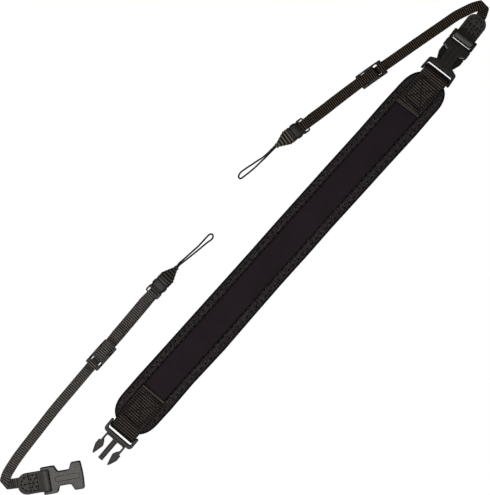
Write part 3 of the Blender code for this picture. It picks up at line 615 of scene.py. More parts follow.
def woven_tape():
    """Plain woven black tape, faded along its ridges, darker in places and with a little fuzz, with painted
    shade round the edge fold and along the inner lip.
    """
    finish = Finish("woven_edge_tape", 0.85, 0.16)
    place = finish.grid(edge_total, 36.0)
    warp = finish.bands(place, 0.62, "Y")
    weft = finish.bands(place, 0.95, "X", 0.35)
    slant = finish.bands(finish.grid(edge_total, 36.0, 45.0), 1.1)
    weave = finish.math("MULTIPLY", finish.math("ADD", warp, slant), weft)
    cloud = finish.noise(finish.space(), 2.4, 4.0)
    fuzz = finish.noise(finish.space(), 1.1, 2.0)
    finish.base(finish.span(weave, 0.1, 1.2), (21, 17, 20), (56, 50, 54))
    finish.cover(finish.span(cloud, 0.44, 0.60, 0.0, 0.75), (10, 8, 9))
    finish.cover(finish.span(fuzz, 0.52, 0.66, 0.0, 0.6), (94, 87, 90))
    # painted shade: the fold round the pad's edge, which faces sideways, is painted near black
    round_way = finish.axis(finish.grid(1.0, 1.0), "Y")
    finish.cover(finish.span(finish.away(round_way, 0.35), 0.13, 0.17, 0.85, 0.0), (9, 8, 8))
    # painted shade along the inner lip on the top face, where the tape meets the knit
    finish.cover(finish.span(round_way, 0.055, 0.1, 0.9, 0.0), (7, 6, 6))
    finish.relief(weave, 0.14, 0.8)
    finish.feed(finish.shader, {"Sheen Weight": 0.02})
    return finish.painted()


tape = roll_out(TAPE_COLUMNS, len(TAPE_OUTLINE), tape_place)
set_down("edge_tape", tape, woven_tape(), "edge_binding")


def thread_finish(name, colour):
    """Twisted sewing thread."""
    finish = Finish(name, 0.6, 0.35)
    twist = finish.bands(finish.grid(6.0, 1.0, 60.0), 0.16)
    finish.base(finish.span(twist, 0.2, 0.9), [c * 0.55 for c in colour], colour)
    finish.relief(twist, 0.05, 0.6)
    return finish.painted()


def painted_hole_shade():
    """The inside of a needle hole, painted near black for the shade deep in the hole, which the shallow
    dimple does not cast.
    """
    finish = Finish("needle_hole_shade", 0.95, 0.05)
    finish.base(finish.noise(finish.space(), 0.4, 2.0), (5, 4, 4), (16, 14, 14))
    return finish.painted()


def one_stitch():
    """One stitch along X from -0.5 to 0.5, one thread radius wide: it arches and dives at both ends."""
    sides = 7
    # along, height of its middle, share of full thickness
    shape = [(-0.5, -1.1, 0.8), (-0.46, -0.2, 1.0), (-0.34, 0.42, 1.0), (0.0, 0.6, 1.05), (0.34, 0.42, 1.0),
             (0.46, -0.2, 1.0), (0.5, -1.1, 0.8)]

    def place(column, row):
        along, height, thick = shape[column]
        turn = 2.0 * math.pi * (row % sides) / sides
        return Vector((along, math.cos(turn) * thick, height + math.sin(turn) * thick))

    return to_mesh("one_stitch", roll_out(len(shape) - 1, sides, place))


def one_hole():
    """A shallow dark dimple, one unit in radius."""
    bm = bmesh.new()
    bmesh.ops.create_uvsphere(bm, u_segments=8, v_segments=4, radius=1.0)
    bmesh.ops.scale(bm, vec=(1.0, 1.0, 0.16), verts=bm.verts)
    return to_mesh("one_hole", bm)


stitch_shape = one_stitch()
hole_shape = one_hole()


def stamp(bm, shape, where, *axes):
    """Add a copy of a shape to the mesh, its axes turned and stretched to the given ones."""
    turn = Matrix(axes).transposed().to_4x4()
    turn.translation = where
    print_of_it = shape.copy()
    print_of_it.transform(turn)
    bm.from_mesh(print_of_it)
    bpy.data.meshes.remove(print_of_it)


def sew(name, stitches, radius, colour, hole_radius):
    """Lay a stitch for each (start, end, normal), in millimetres, and a hole where each goes down."""
    bm = bmesh.new()
    holes = bmesh.new()
    done = set()
    for start, end, normal in stitches:
        run = end - start
        across = normal.cross(run).normalized()
        up = run.cross(across).normalized()
        stamp(bm, stitch_shape, (start + end) / 2.0, run, across * radius, up * radius)
        for point in (start, end):
            # stitches that meet share a hole
            key = (round(point.x, 1), round(point.y, 1), point.z > TAPE_OUTSIDE / 2.0)
            if key not in done:
                done.add(key)
                stamp(holes, hole_shape, point + normal * 0.1, run.normalized() * hole_radius,
                      across * hole_radius, up * hole_radius)
    set_down(name, bm, thread_finish(f"{name}_thread", colour))
    set_down(f"{name}_holes", holes, painted_hole_shade())


zigzag = []
for face_up in (True, False):
    height, lift, normal = (6.84, 0.10, UPWARD) if face_up else (0.03, 0.12, -UPWARD)
    for k in range(zigzags):
        outer = tape_surface(k * zigzag_step, ZIGZAG_OUTER, height)
        inner = tape_surface((k + 0.5) * zigzag_step, ZIGZAG_INNER, height)
        onward = tape_surface((k + 1.0) * zigzag_step, ZIGZAG_OUTER, height)
        for start, end in ((outer, inner), (inner, onward)):
            middle = (start + end) / 2.0
            hem = HEM_FROM_CENTRE["left" if middle.x < 0.0 else "right"]
            if abs(middle.x) > hem - 3.0 and abs(middle.y) < 15.6:
                continue
            zigzag.append((start + UPWARD * lift, end + UPWARD * lift, normal))
sew("zigzag", zigzag, 0.22, (58, 53, 54), 1.1)


# ------------------------------------------------------------------ wide webbing
# Ribbed nylon webbing, laid under and over each end of the pad and looped round a buckle's bar.
# Its upper end is turned in as a hem, and a box with a cross of thread goes through all of it.
WIDE_HALF_WIDTH = 14.5
WIDE_HALF_AT_BAR = 13.85
HEM_SLANT = {"left": 0.5, "right": -1.1}
WIDE_SLACK = {"left": 0.8, "right": 0.5}
WIDE_MIDDLE = {"left": [(180.6, -0.1), (197.0, -0.6), (212.0, -1.3)],
               "right": [(184.1, 0.7), (197.0, 0.8), (212.0, 1.0)]}
WIDE_RIB = 2.42
WIDE_CORDS = 11
STEPS_PER_RIB = 8
RIB_DEPTH = 0.28
CORD_DEPTH = 0.14
# ridge colour, groove colour, how far from the bar the painted shade is full and where it has faded. The
# groove colour is painted shade between the ribs, and the two sides, one and the same webbing, are given
# different tones as painted light.
WIDE_LOOK = {"left": ((70, 62, 59), (9, 4, 4), (3.2, 4.6)), "right": ((82, 73, 69), (3, 1, 1), (5.2, 8.4))}
WIDE_TOP = 7.34
BOX_STITCH = 2.3
BAR_RADIUS = {"wide": 1.5, "narrow": 1.4}
MALE_LEFT = ((-228.0, -2.5, 3.3), 181.4)
FEMALE_RIGHT = ((228.6, 1.6, 4.0), 4.0)


def woven_ring(cords):
    """Cross-section of webbing: (share of half width, share of half thickness, cord height)."""
    per_cord = 4 if cords > 1 else 3
    steps = cords * per_cord
    flat = []
    for k in range(steps + 1):
        wide = 0.93 - 1.86 * k / steps
        flat.append((wide, 1.0, abs(math.sin(math.pi * k / per_cord)) if cords > 1 else 0.5))
    rim = [(0.965, 0.9, 0.0), (0.992, 0.55, 0.0), (1.0, 0.0, 0.0), (0.992, -0.55, 0.0), (0.965, -0.9, 0.0)]
    under = [(-wide, -thick, cord) for wide, thick, cord in flat]
    return flat + [(-wide, thick, cord) for wide, thick, cord in rim] + under + [
        (wide, thick, cord) for wide, thick, cord in reversed(rim)]


def even_stations(stations, step, soften):
    """Stations at equal steps along a strap, its kinks eased soften times over.

    Returns the points, the half widths, the directions up out of the strap, and the strap's length.
    """
    marks = milestones([point for point, _ in stations])
    count = int(marks[-1] / step)
    points, across = [], []
    for n in range(count + 1):
        k, share = between(marks, marks[-1] * n / count)
        points.append(stations[k][0].lerp(stations[k + 1][0], share))
        across.append(stations[k][1].lerp(stations[k + 1][1], share))
    for _ in range(soften):
        eased = [points[0]]
        for a, b, c in zip(points, points[1:], points[2:]):
            eased.append((a + b * 2.0 + c) / 4.0)
        points = eased + [points[-1]]
    normals = []
    for n in range(count + 1):
        travel = points[min(n + 1, count)] - points[max(n - 1, 0)]
        normals.append(travel.cross(across[n]).normalized())
    return points, across, normals, marks[-1]


def webbing_band(stations, thickness, rib, rib_depth, cords=1, cord_depth=0.0, bulge=None):
    """Ribbed webbing along the stations. bulge(distance, length) adds to half the thickness."""
    points, across, normals, length = even_stations(stations, rib / STEPS_PER_RIB, 2)
    count = len(points) - 1
    ring = woven_ring(cords)

    def place(column, row):
        wide, thick, cord = ring[row % len(ring)]
        distance = length * column / count
        arch = abs(math.sin(math.pi * distance / rib)) ** 0.8
        half = thickness / 2.0 - rib_depth * (1.0 - arch) - cord_depth * (1.0 - cord) * arch
        if bulge:
            half += bulge(distance, length)
        end = min(distance, length - distance)
        half *= 0.55 + 0.45 * smooth(end / 0.7)
        scallop = 1.0 - 0.16 * (1.0 - arch) / across[column].length
        return points[column] + across[column] * wide * scallop + normals[column] * thick * half

    return roll_out(count, len(ring), place), length


def ribbed_webbing(name, length, width, rib, ridge, groove, specular, cords=1, turn=None, dip=None,
                   crest=(0.3, 0.75)):
    """Woven ribs across the strap, with painted shade between them, and fine threads over them.

    The ridge colour starts and is full at the two heights of crest. turn and dip say where painted shade is
    laid.
    """
    finish = Finish(name, 0.5, specular)
    place = finish.grid(length, 1.0)
    ribs = finish.bands(place, rib)
    fine = finish.bands(finish.grid(length, width * 2.0), 0.42, "Y", 0.3)
    cloud = finish.noise(finish.space(), 4.0, 4.0)
    fuzz = finish.noise(finish.space(), 0.8, 2.0)
    # painted shade: the groove colour darkens the hollows between the ribs
    finish.base(finish.span(ribs, *crest), groove, ridge)
    if cords > 1:
        wales = finish.bands(place, 0.5 / cords / 1.18, "Y")
        finish.cover(finish.span(wales, 0.1, 0.6, 0.55, 0.0), groove)
    finish.cover(finish.span(fine, 0.0, 0.5, 0.25, 0.0), groove)
    finish.cover(finish.span(cloud, 0.35, 0.7, 0.0, 0.15), groove)
    finish.cover(finish.span(fuzz, 0.5, 0.75, 0.0, 0.18), [c * 1.4 for c in ridge])
    along = finish.axis(place, "X")
    if cords > 1:
        # painted highlight along the raised roll of the turned-in hem
        finish.cover(finish.span(along, length - 1.6, length - 1.2, 0.0, 0.32), (100, 92, 86))
        # painted shade where it turns round the bar
        finish.cover(finish.span(finish.away(along, length / 2.0), *turn, 0.85, 0.0), groove)
        # painted shade along both selvedges: a dark line where the webbing's edge stands over the tape
        round_way = finish.axis(finish.grid(1.0, 2.0), "Y")
        from_rim = finish.math("PINGPONG", finish.math("ADD", round_way, 0.05), 0.5)
        finish.cover(finish.span(from_rim, 0.05, 0.085, 1.0, 0.0), (5, 4, 4))
    if dip:
        # painted shade where it dives under the adjuster's middle bar
        finish.cover(finish.span(finish.away(along, dip), 1.0, 2.2, 0.8, 0.0), (3, 2, 2))
    finish.gloss(finish.span(ribs, 0.2, 0.8, 0.95, 0.48))
    finish.relief(fine, 0.08, 0.6)
    return finish.painted()


def round_bar(centre, out, radius, slack, across, steps):
    """Stations of half a turn round a bar, from below it to above it."""
    stations = []
    for k in range(steps + 1):
        turn = math.pi * k / steps
        point = centre + out * (radius + slack) * math.sin(turn) - UPWARD * radius * math.cos(turn)
        stations.append((point, across))
    return stations


def wide_loop(side, bar, outward):
    """Stations of one wide loop, from its hem below to its hem on top."""
    sign = -1.0 if side == "left" else 1.0
    pad_end = PAD_LENGTH / 2.0 + 0.4
    radius = BAR_RADIUS["wide"] + SEWN_GAP + WIDE_THICKNESS / 2.0
    centre, out = Vector(bar), heading(outward)
    low = WIDE_THICKNESS / 2.0
    high = TAPE_OUTSIDE + WEBBING_PROUD - WIDE_THICKNESS / 2.0
    across = heading(90.0) * sign
    across_bar = leftward(out) * WIDE_HALF_AT_BAR
    layer = [(x, y, across * WIDE_HALF_WIDTH) for x, y in WIDE_MIDDLE[side]]
    layer[0] = (*layer[0][:2], layer[0][2] + Vector((HEM_SLANT[side], 0.0, 0.0)))
    inward = out * ((pad_end - abs(centre.x)) / abs(out.x))
    layer.append((pad_end, centre.y + inward.y, across_bar))
    stations = [(Vector((sign * x, y, low)), half) for x, y, half in layer]
    stations += round_bar(centre, out, radius, WIDE_SLACK[side], across_bar, 24)
    stations += [(Vector((sign * x, y, high)), half) for x, y, half in reversed(layer)]
    return stations


def hem_bulge(distance, length):
    """The turned-in end: a fuller roll, and a groove where it is sewn down."""
    from_end = length - distance
    roll = 0.26 * smooth((3.1 - from_end) / 0.5) * smooth(from_end / 0.5)
    groove = -0.2 * math.exp(-((from_end - 3.5) / 0.45) ** 2)
    return roll + groove


for side, (bar, outward) in (("left", MALE_LEFT), ("right", FEMALE_RIGHT)):
    band, length = webbing_band(wide_loop(side, bar, outward), WIDE_THICKNESS, WIDE_RIB, RIB_DEPTH,
                                WIDE_CORDS, CORD_DEPTH, hem_bulge)
    ridge, groove, turn = WIDE_LOOK[side]
    finish = ribbed_webbing(f"wide_webbing_{side}", length, 28.6, WIDE_RIB, ridge, groove, 0.15,
                            WIDE_CORDS, turn)
    set_down(f"wide_webbing_{side}", band, finish, f"pad_webbing_{side}")

    # a box with a cross of thread, and a line along the hem
    sign = -1.0 if side == "left" else 1.0
    hem = HEM_FROM_CENTRE[side]
    middle_y = -0.7 if side == "left" else 0.85
    near, far, half = hem + 5.4, hem + 35.0, 11.6
    runs = []
    for inset in (0.0, 1.7):
        x0, x1, y = near + inset, far - inset, half - inset
        ring = [(x0, -y), (x0, y), (x1, y), (x1, -y)]
        runs += zip(ring, ring[1:] + ring[:1])
    runs += [(ring[0], ring[2]), (ring[1], ring[3])]
    runs.append(((hem + 3.5, -half - 1.4), (hem + 3.5, half + 1.4)))
    stitches = []
    for (x0, y0), (x1, y1) in runs:
        start = Vector((sign * x0, middle_y + y0, WIDE_TOP))
        end = Vector((sign * x1, middle_y + y1, WIDE_TOP))
        count = max(round((end - start).length / BOX_STITCH), 1)
        for k in range(count):
            a, b = start.lerp(end, (k + 0.06) / count), start.lerp(end, (k + 0.94) / count)
            stitches.append((a, b, UPWARD))
    sew(f"box_cross_{side}", stitches, 0.42, (24, 22, 27), 0.5)


# ------------------------------------------------------------------ buckles
# Side release buckles in black acetal, moulded in one shot with soft edges and a fine spark finish.
# The narrow ones hang in leather, the wide ones in the pad's webbing; one pair is pushed together.
FRAME_HALF_WIDTH = {"wide": 16.8, "narrow": 13.2}
SLOT_HALF_LENGTH = {"wide": 13.95, "narrow": 10.2}
MALE_TAIL = {"wide": 3.3, "narrow": 5.2}
FEMALE_TAIL = {"wide": 4.1, "narrow": 4.2}
MALE_HALF_HEIGHT = 3.3
FEMALE_HALF_HEIGHT = 4.0
PRONG_HALF_HEIGHT = 2.1
CAVITY_HALF_HEIGHT = 2.4
CAVITY_HALF_WIDTH = 11.5
CAVITY_END = 10.6
MOUTH = 35.0
MOUTH_HALF_WIDTH = 13.4
MOUTH_BULGE = {"wide": 0.3, "narrow": 0.7}
WAIST_HALF_WIDTH = 7.0
WAIST = {"wide": (13.2, 24.3, 26.8), "narrow": (11.9, 23.0, 25.8)}
SHOULDER = {"wide": 10.1, "narrow": 5.6}
FRONT_BAR = {"wide": 3.9, "narrow": 1.2}
PRONG_SQUEEZE_CLOSED = 0.8
FEMALE_SHOULDER = {"wide": (5.35, [(11.6, 9.7, 1.6), (9.0, 15.8, 2.8)]),
                   "narrow": (3.8, [(9.4, 12.9, 1.8), (6.0, 13.2, 1.8)])}
FEMALE_LEFT = ((-312.2, 21.0, 4.0), -38.2)
PAIR_LENGTH = MOUTH + SEWN_GAP + SHOULDER["narrow"]
MOULDED_SHARP = 32.0


def rounded(corners, steps=5):
    """Outline with its corners eased. A row is (x, y, radius)."""
    outline = []
    count = len(corners)
    for k, (x, y, radius) in enumerate(corners):
        here = Vector((x, y, 0.0))
        if radius <= 0.0:
            outline.append(here)
            continue
        before = Vector((*corners[k - 1][:2], 0.0)) - here
        after = Vector((*corners[(k + 1) % count][:2], 0.0)) - here
        half = before.angle(after) / 2.0
        reach = min(radius / math.tan(half), 0.49 * before.length, 0.49 * after.length)
        start = here + before.normalized() * reach
        end = here + after.normalized() * reach
        for step in range(steps + 1):
            t = step / steps
            outline.append(start * (1 - t) ** 2 + here * 2 * t * (1 - t) + end * t * t)
    return outline


def box(x0, x1, y0, y1, radius=0.0, steps=5):
    """Outline of a rectangle with eased corners."""
    return rounded([(x0, y0, radius), (x1, y0, radius), (x1, y1, radius), (x0, y1, radius)], steps)


def mirrored(half):
    """The rows of one side, and the same again on the other side of the middle line."""
    return half + [(x, -y, radius) for x, y, radius in reversed(half)]


def slab(outline, low, high, edge=0.0, segments=3):
    """Flat plate with the outline, from height low to high, its rims rounded by edge."""
    bm = bmesh.new()
    base = bm.faces.new([bm.verts.new((p.x, p.y, low)) for p in outline])
    lifted = bmesh.ops.extrude_face_region(bm, geom=[base])["geom"]
    moved = [item for item in lifted if isinstance(item, bmesh.types.BMVert)]
    bmesh.ops.translate(bm, vec=(0.0, 0.0, high - low), verts=moved)
    bmesh.ops.recalc_face_normals(bm, faces=bm.faces)
    if edge > 0.0:
        rims = [e for e in bm.edges if abs(e.verts[0].co.z - e.verts[1].co.z) < 1e-6]
        bmesh.ops.bevel(bm, geom=rims, offset=edge, segments=segments, profile=0.5, affect="EDGES",
                        clamp_overlap=True, material=-1)
    return bm


def merge(target, tool, operation, split=True):
    """Apply one exact Boolean of two meshes and return the result."""
    objects = []
    for bm in (target, tool):
        bmesh.ops.recalc_face_normals(bm, faces=bm.faces)
        if split:
            bmesh.ops.triangulate(bm, faces=[face for face in bm.faces if len(face.verts) > 4])
        objects.append(bpy.data.objects.new("scratch", to_mesh("scratch", bm)))
        scene.collection.objects.link(objects[-1])
    boolean = objects[0].modifiers.new("join", "BOOLEAN")
    boolean.operation = operation
    boolean.solver = "EXACT"
    boolean.object = objects[1]
    graph = bpy.context.evaluated_depsgraph_get()
    result = bmesh.new()
    result.from_mesh(objects[0].evaluated_get(graph).to_mesh())
    for piece in objects:
        mesh = piece.data
        bpy.data.objects.remove(piece)
        bpy.data.meshes.remove(mesh)
    return result


def cut(body, outline, low, high, edge=0.0, segments=3):
    """Take a flat pocket or a window out of the body."""
    return merge(body, slab(outline, low, high, edge, segments), "DIFFERENCE")


def cross_bar(radius, half_length):
    """Round bar along Y through the origin."""
    bm = bmesh.new()
    bmesh.ops.create_cone(bm, cap_ends=True, segments=24, radius1=radius, radius2=radius,
                          depth=half_length * 2.0, matrix=Matrix.Rotation(math.pi / 2.0, 4, "X"))
    return bm


def put(bm, place):
    """Carry a buckle from its own frame to where it lies."""
    where, turn = place
    matrix = Matrix.Translation(where) @ Matrix.Rotation(math.radians(turn), 4, "Z")
    bmesh.ops.transform(bm, matrix=matrix, verts=bm.verts)
    return bm


def moulded_plastic(name, gloss, specular, shade_painted_below=None, painted_highlight_at=None):
    """Black acetal: fine spark texture, faint flow marks and small rubs, with painted shade below a given
    height and a painted highlight on the window ends when asked. gloss is its roughness.
    """
    finish = Finish(name, 0.36, specular)
    place = finish.space()
    spark = finish.noise(place, 0.3, 3.0, 0.6)
    flow = finish.noise(place, 4.5, 4.0, 0.6)
    rubs = finish.noise(place, 1.2, 5.0, 0.7)
    finish.base(finish.span(flow, 0.3, 0.7), (15, 14, 13), (21, 19, 18))
    finish.cover(finish.span(rubs, 0.6, 0.8, 0.0, 0.5), (44, 41, 38))
    if shade_painted_below:
        # painted shade: the arms that sit inside the other half are painted jet black below this height, for
        # the shade in the windows
        height = finish.axis(place, "Z")
        finish.cover(finish.span(height, shade_painted_below - 0.3, shade_painted_below + 0.1, 1.0, 0.0), (2, 2, 2))
    if painted_highlight_at:
        # painted highlight along the slanted ends of the windows, where the catch arms click past them
        (x0, y0, _), turn = painted_highlight_at
        way = heading(turn)
        x, y = finish.axis(place, "X"), finish.axis(place, "Y")

        def turned(a, b):
            seen = finish.math("ADD", finish.math("MULTIPLY", x, a), finish.math("MULTIPLY", y, b))
            return finish.math("SUBTRACT", seen, a * x0 + b * y0)

        across = finish.math("ABSOLUTE", turned(-way.y, way.x))
        slant = finish.math("SUBTRACT", turned(way.x, way.y), finish.math("MULTIPLY", across, 0.39))
        near = finish.span(finish.away(slant, 22.0), 0.35, 0.6, 0.9, 0.0)
        window = finish.math("MULTIPLY", finish.span(across, 6.9, 7.6),
                             finish.span(across, 11.3, 12.3, 1.0, 0.0))
        finish.cover(finish.math("MULTIPLY", near, window), (128, 124, 120))
    finish.gloss(finish.span(spark, 0.3, 0.7, gloss - 0.07, gloss + 0.07))
    finish.relief(spark, 0.05, 0.5)
    return finish.painted()


def prongs(shoulder, squeeze):
    """Guide and two catch arms of the male half, as one outline from its root."""
    arm = [(9.9, 11.7, 0.0), (10.0, 13.4, 0.5), (15.6, 13.4, 3.0), (21.2, 11.2, 2.0), (24.4, 9.6, 0.7),
           (23.8, 8.5, 0.7), (18.8, 7.2, 6.0), (13.0, 5.9, 1.5), (9.8, 7.3, 1.5), (7.0, 9.5, 1.5),
           (1.6, 9.8, 1.6)]
    guide = [(1.6, 2.7, 1.2), (24.4, 2.6, 0.8)]
    root = [(-1.0, 11.0, 0.0), (1.5, 11.6 - squeeze, 0.8)]
    half = root + [(x, y - squeeze, r) for x, y, r in arm] + guide
    return rounded(mirrored([(shoulder + x, y, r) for x, y, r in half]))


def make_male(size, squeeze):
    """Male half: strap bar, frame, guide with a groove and two springy catch arms with sunk faces."""
    shoulder = SHOULDER[size]
    slot_end = shoulder - FRONT_BAR[size]
    outer, inner, tail = FRAME_HALF_WIDTH[size], SLOT_HALF_LENGTH[size], -MALE_TAIL[size]
    corner, tail_corner = (4.5, 1.38) if size == "wide" else (2.0, 1.5)
    half = [(shoulder, outer, corner), (tail, outer, tail_corner), (tail, inner, 1.35),
            (slot_end, inner, 1.9)]
    frame_plate = slab(rounded(mirrored(half)), -MALE_HALF_HEIGHT, MALE_HALF_HEIGHT, 0.9, 4)
    fork = slab(prongs(shoulder, squeeze), -PRONG_HALF_HEIGHT, PRONG_HALF_HEIGHT, 0.55)
    for face in (1.0, -1.0):
        # the groove of the guide and the sunk faces of the arms
        low, high = sorted((face * (PRONG_HALF_HEIGHT - 0.7), face * (PRONG_HALF_HEIGHT + 1.0)))
        fork = cut(fork, box(shoulder + 2.2, shoulder + 21.0, -1.6, 1.6, 0.7), low, high, 0.6, 1)
        for side in (1.0, -1.0):
            pocket = [(11.6, 8.1), (13.6, 7.5), (19.0, 8.7), (21.6, 9.6), (15.6, 12.1), (11.4, 12.1)]
            rows = [(shoulder + x, side * (y - squeeze), 0.7) for x, y in pocket]
            fork = cut(fork, rounded(rows if side > 0.0 else rows[::-1], 3), low, high, 0.55, 1)
    bar = cross_bar(BAR_RADIUS[size], (inner + outer) / 2.0)
    return merge(merge(frame_plate, fork, "UNION"), bar, "UNION")


def make_female(size):
    """Female half: strap bar, block, open-sided waist, mouth band and a plain long oval panel."""
    outer, inner, tail = FRAME_HALF_WIDTH[size], SLOT_HALF_LENGTH[size], -FEMALE_TAIL[size]
    slot_end, shoulder = FEMALE_SHOULDER[size]
    waist_start, waist_end, band_start = WAIST[size]
    front = [(MOUTH + MOUTH_BULGE[size], 4.0, 2.0), (MOUTH, MOUTH_HALF_WIDTH, 1.8),
             (band_start, MOUTH_HALF_WIDTH, 1.8), (waist_end, WAIST_HALF_WIDTH, 2.4),
             (waist_start, WAIST_HALF_WIDTH, 2.4), *shoulder]
    frame_arms = [(tail, outer, 1.38), (tail, inner, 1.38), (slot_end, inner, 1.9)]
    thick = -FEMALE_HALF_HEIGHT, FEMALE_HALF_HEIGHT
    if size == "wide":
        body = slab(rounded(mirrored(front + frame_arms)), *thick, 0.9, 4)
    else:
        body = slab(rounded(mirrored(front + [(slot_end, outer, 1.8)])), *thick, 1.2, 4)
        arms = slab(rounded(mirrored([(8.0, outer, 1.8)] + frame_arms)), *thick, 0.9, 4)
        body = merge(body, arms, "UNION")
    cavity = box(CAVITY_END, MOUTH + 5.0, -CAVITY_HALF_WIDTH, CAVITY_HALF_WIDTH)
    body = cut(body, cavity, -CAVITY_HALF_HEIGHT, CAVITY_HALF_HEIGHT)
    for face in (1.0, -1.0):
        low, high = sorted((face * (FEMALE_HALF_HEIGHT - 0.45), face * (FEMALE_HALF_HEIGHT + 1.0)))
        panel = rounded([(8.4, -2.7, 2.6), (32.4, -2.7, 1.2), (32.4, 2.7, 1.2), (8.4, 2.7, 2.6)])
        body = cut(body, panel, low, high, 0.4, 1)
        # three shallow finger grooves across each side of the waist band
        for x in (29.0, 30.6, 32.2):
            for side in (1.0, -1.0):
                y0, y1 = sorted((side * 7.2, side * 11.2))
                body = cut(body, box(x - 0.3, x + 0.3, y0, y1, 0.25, 2), low, high)
    bar = cross_bar(BAR_RADIUS[size], (inner + outer) / 2.0)
    return merge(body, bar, "UNION")


satin = moulded_plastic("satin_acetal", 0.39, 0.44)
# painted highlight on the fastened female's window ends
dull = moulded_plastic("dull_acetal_painted_highlight", 0.5, 0.26, painted_highlight_at=FEMALE_RIGHT)
# painted shade on the pushed-in male's arms
sunk = moulded_plastic("sunk_acetal_painted_shade", 0.55, 0.2, shade_painted_below=6.5)
matt = moulded_plastic("matt_acetal", 0.52, 0.4)
male_bar = Vector(FEMALE_RIGHT[0]) + heading(FEMALE_RIGHT[1]) * PAIR_LENGTH
MALE_RIGHT = (tuple(male_bar), FEMALE_RIGHT[1] + 180.0)
pushed_in = make_male("narrow", PRONG_SQUEEZE_CLOSED)
for name, half, place, finish, node in (
        ("open_male_half", make_male("wide", 0.0), MALE_LEFT, matt, "male_buckle_left"),
        ("open_female_half", make_female("narrow"), FEMALE_LEFT, satin, "female_buckle_left"),
        ("fastened_female_half", make_female("wide"), FEMALE_RIGHT, dull, "female_buckle_right"),
        ("fastened_male_half", pushed_in, MALE_RIGHT, sunk, "male_buckle_right")):
    set_down(name, put(half, place), finish, node, MOULDED_SHARP)


# ------------------------------------------------------------------ leather tabs
# A strip of grained black leather folded round each narrow bar, its round ends sewn over the webbing.
# The stitches run round a D, along the middle and in a cross, each in a punched hole.
LEATHER_THICKNESS = 1.5
LEATHER_HALF_WIDTH = 10.3
LEATHER_LENGTH = {"left": 28.2, "right": 28.7}
LEATHER_HALF_AT_BAR = 10.0
LEATHER_SLACK = {"left": 0.3, "right": 0.12}
LEATHER_END_RADIUS = 9.0
LEATHER_RISE = 9.0
LEATHER_FACE = (42, 40, 38)
TAB_TOP = 4.66
THIN_THICKNESS = 1.0
# share of half width, share of half thickness
LEATHER_EDGE = [
    (1.0, 0.0), (0.99, 0.5), (0.965, 0.85), (0.92, 1.0), (0.84, 1.04), (0.76, 1.0), (0.5, 1.0), (0.2, 1.0),
    (-0.2, 1.0), (-0.5, 1.0), (-0.76, 1.0), (-0.84, 1.04), (-0.92, 1.0), (-0.965, 0.85), (-0.99, 0.5),
    (-1.0, 0.0), (-0.99, -0.5), (-0.965, -0.85), (-0.92, -1.0), (-0.5, -1.0), (0.0, -1.0), (0.5, -1.0),
    (0.92, -1.0), (0.965, -0.85), (0.99, -0.5)]


def grained_leather(name, light_and_shade_by_bar, at_bar, core):
    """Pebbled leather with fine creases, with painted light and shade near the bar and a painted highlight
    over the bend.
    """
    finish = Finish(name, 0.5, 0.3)
    place = finish.space()
    pebbles = finish.cells(place, 0.75)
    creases = finish.noise(place, 1.6, 5.0, 0.62)
    cloud = finish.noise(place, 6.0, 3.0)
    finish.base(finish.span(pebbles, 0.1, 0.7), (58, 56, 54), LEATHER_FACE)
    finish.cover(finish.span(cloud, 0.35, 0.7, 0.0, 0.6), [c * 0.72 for c in LEATHER_FACE])
    # the bar is half way along the strip
    from_bar = finish.away(finish.axis(finish.grid(1.0, 1.0), "X"), 0.5)
    # painted light and shade near the bar, a tone given for each tab
    finish.cover(finish.span(from_bar, 0.17, 0.26, 0.7, 0.0), light_and_shade_by_bar)
    # painted highlight over the bend, held back by core right at the bar, where the painted shade stays
    bend = finish.span(from_bar, 0.062, 0.1, 0.8, 0.0)
    finish.cover(finish.math("MULTIPLY", bend, finish.span(from_bar, 0.02, 0.05, core)), at_bar)
    finish.gloss(finish.span(creases, 0.3, 0.7, 0.42, 0.6))
    finish.relief(pebbles, -0.10, 0.7)
    finish.relief(creases, 0.12, 0.5)
    return finish.painted()


def leather_stations(side, bar, outward):
    """Stations of one leather strip, from its round end below to its round end on top."""
    length = LEATHER_LENGTH[side]
    radius = BAR_RADIUS["narrow"] + SEWN_GAP + LEATHER_THICKNESS / 2.0
    centre, out = Vector(bar), heading(outward)
    side_way = leftward(out)
    low = LEATHER_THICKNESS / 2.0
    high = low + LEATHER_THICKNESS + THIN_THICKNESS + 2.0 * SEWN_GAP
    insets = [LEATHER_END_RADIUS * (1.0 - math.cos(math.pi / 2.0 * k / 14.0)) for k in range(15)]
    insets += [length - LEATHER_RISE + 0.75 * k for k in range(12)]
    layer = []
    for inset in insets:
        short = LEATHER_END_RADIUS - min(inset, LEATHER_END_RADIUS)
        round_end = math.sqrt(max(LEATHER_END_RADIUS ** 2 - short ** 2, 0.04))
        half_width = LEATHER_HALF_WIDTH - LEATHER_END_RADIUS + round_end
        layer.append((length - inset, half_width, smooth((inset - length + LEATHER_RISE) / LEATHER_RISE)))

    def lying(rows, floor, at_bar):
        """One layer of the strip, which leaves its floor to meet the bar."""
        return [(Vector((centre.x, centre.y, floor + (at_bar - floor) * rise)) - out * reach,
                 side_way * half_width) for reach, half_width, rise in rows]

    stations = lying(layer, low, centre.z - radius)
    stations += round_bar(centre, out, radius, LEATHER_SLACK[side], side_way * LEATHER_HALF_AT_BAR, 20)
    return stations + lying(reversed(layer), high, centre.z + radius)


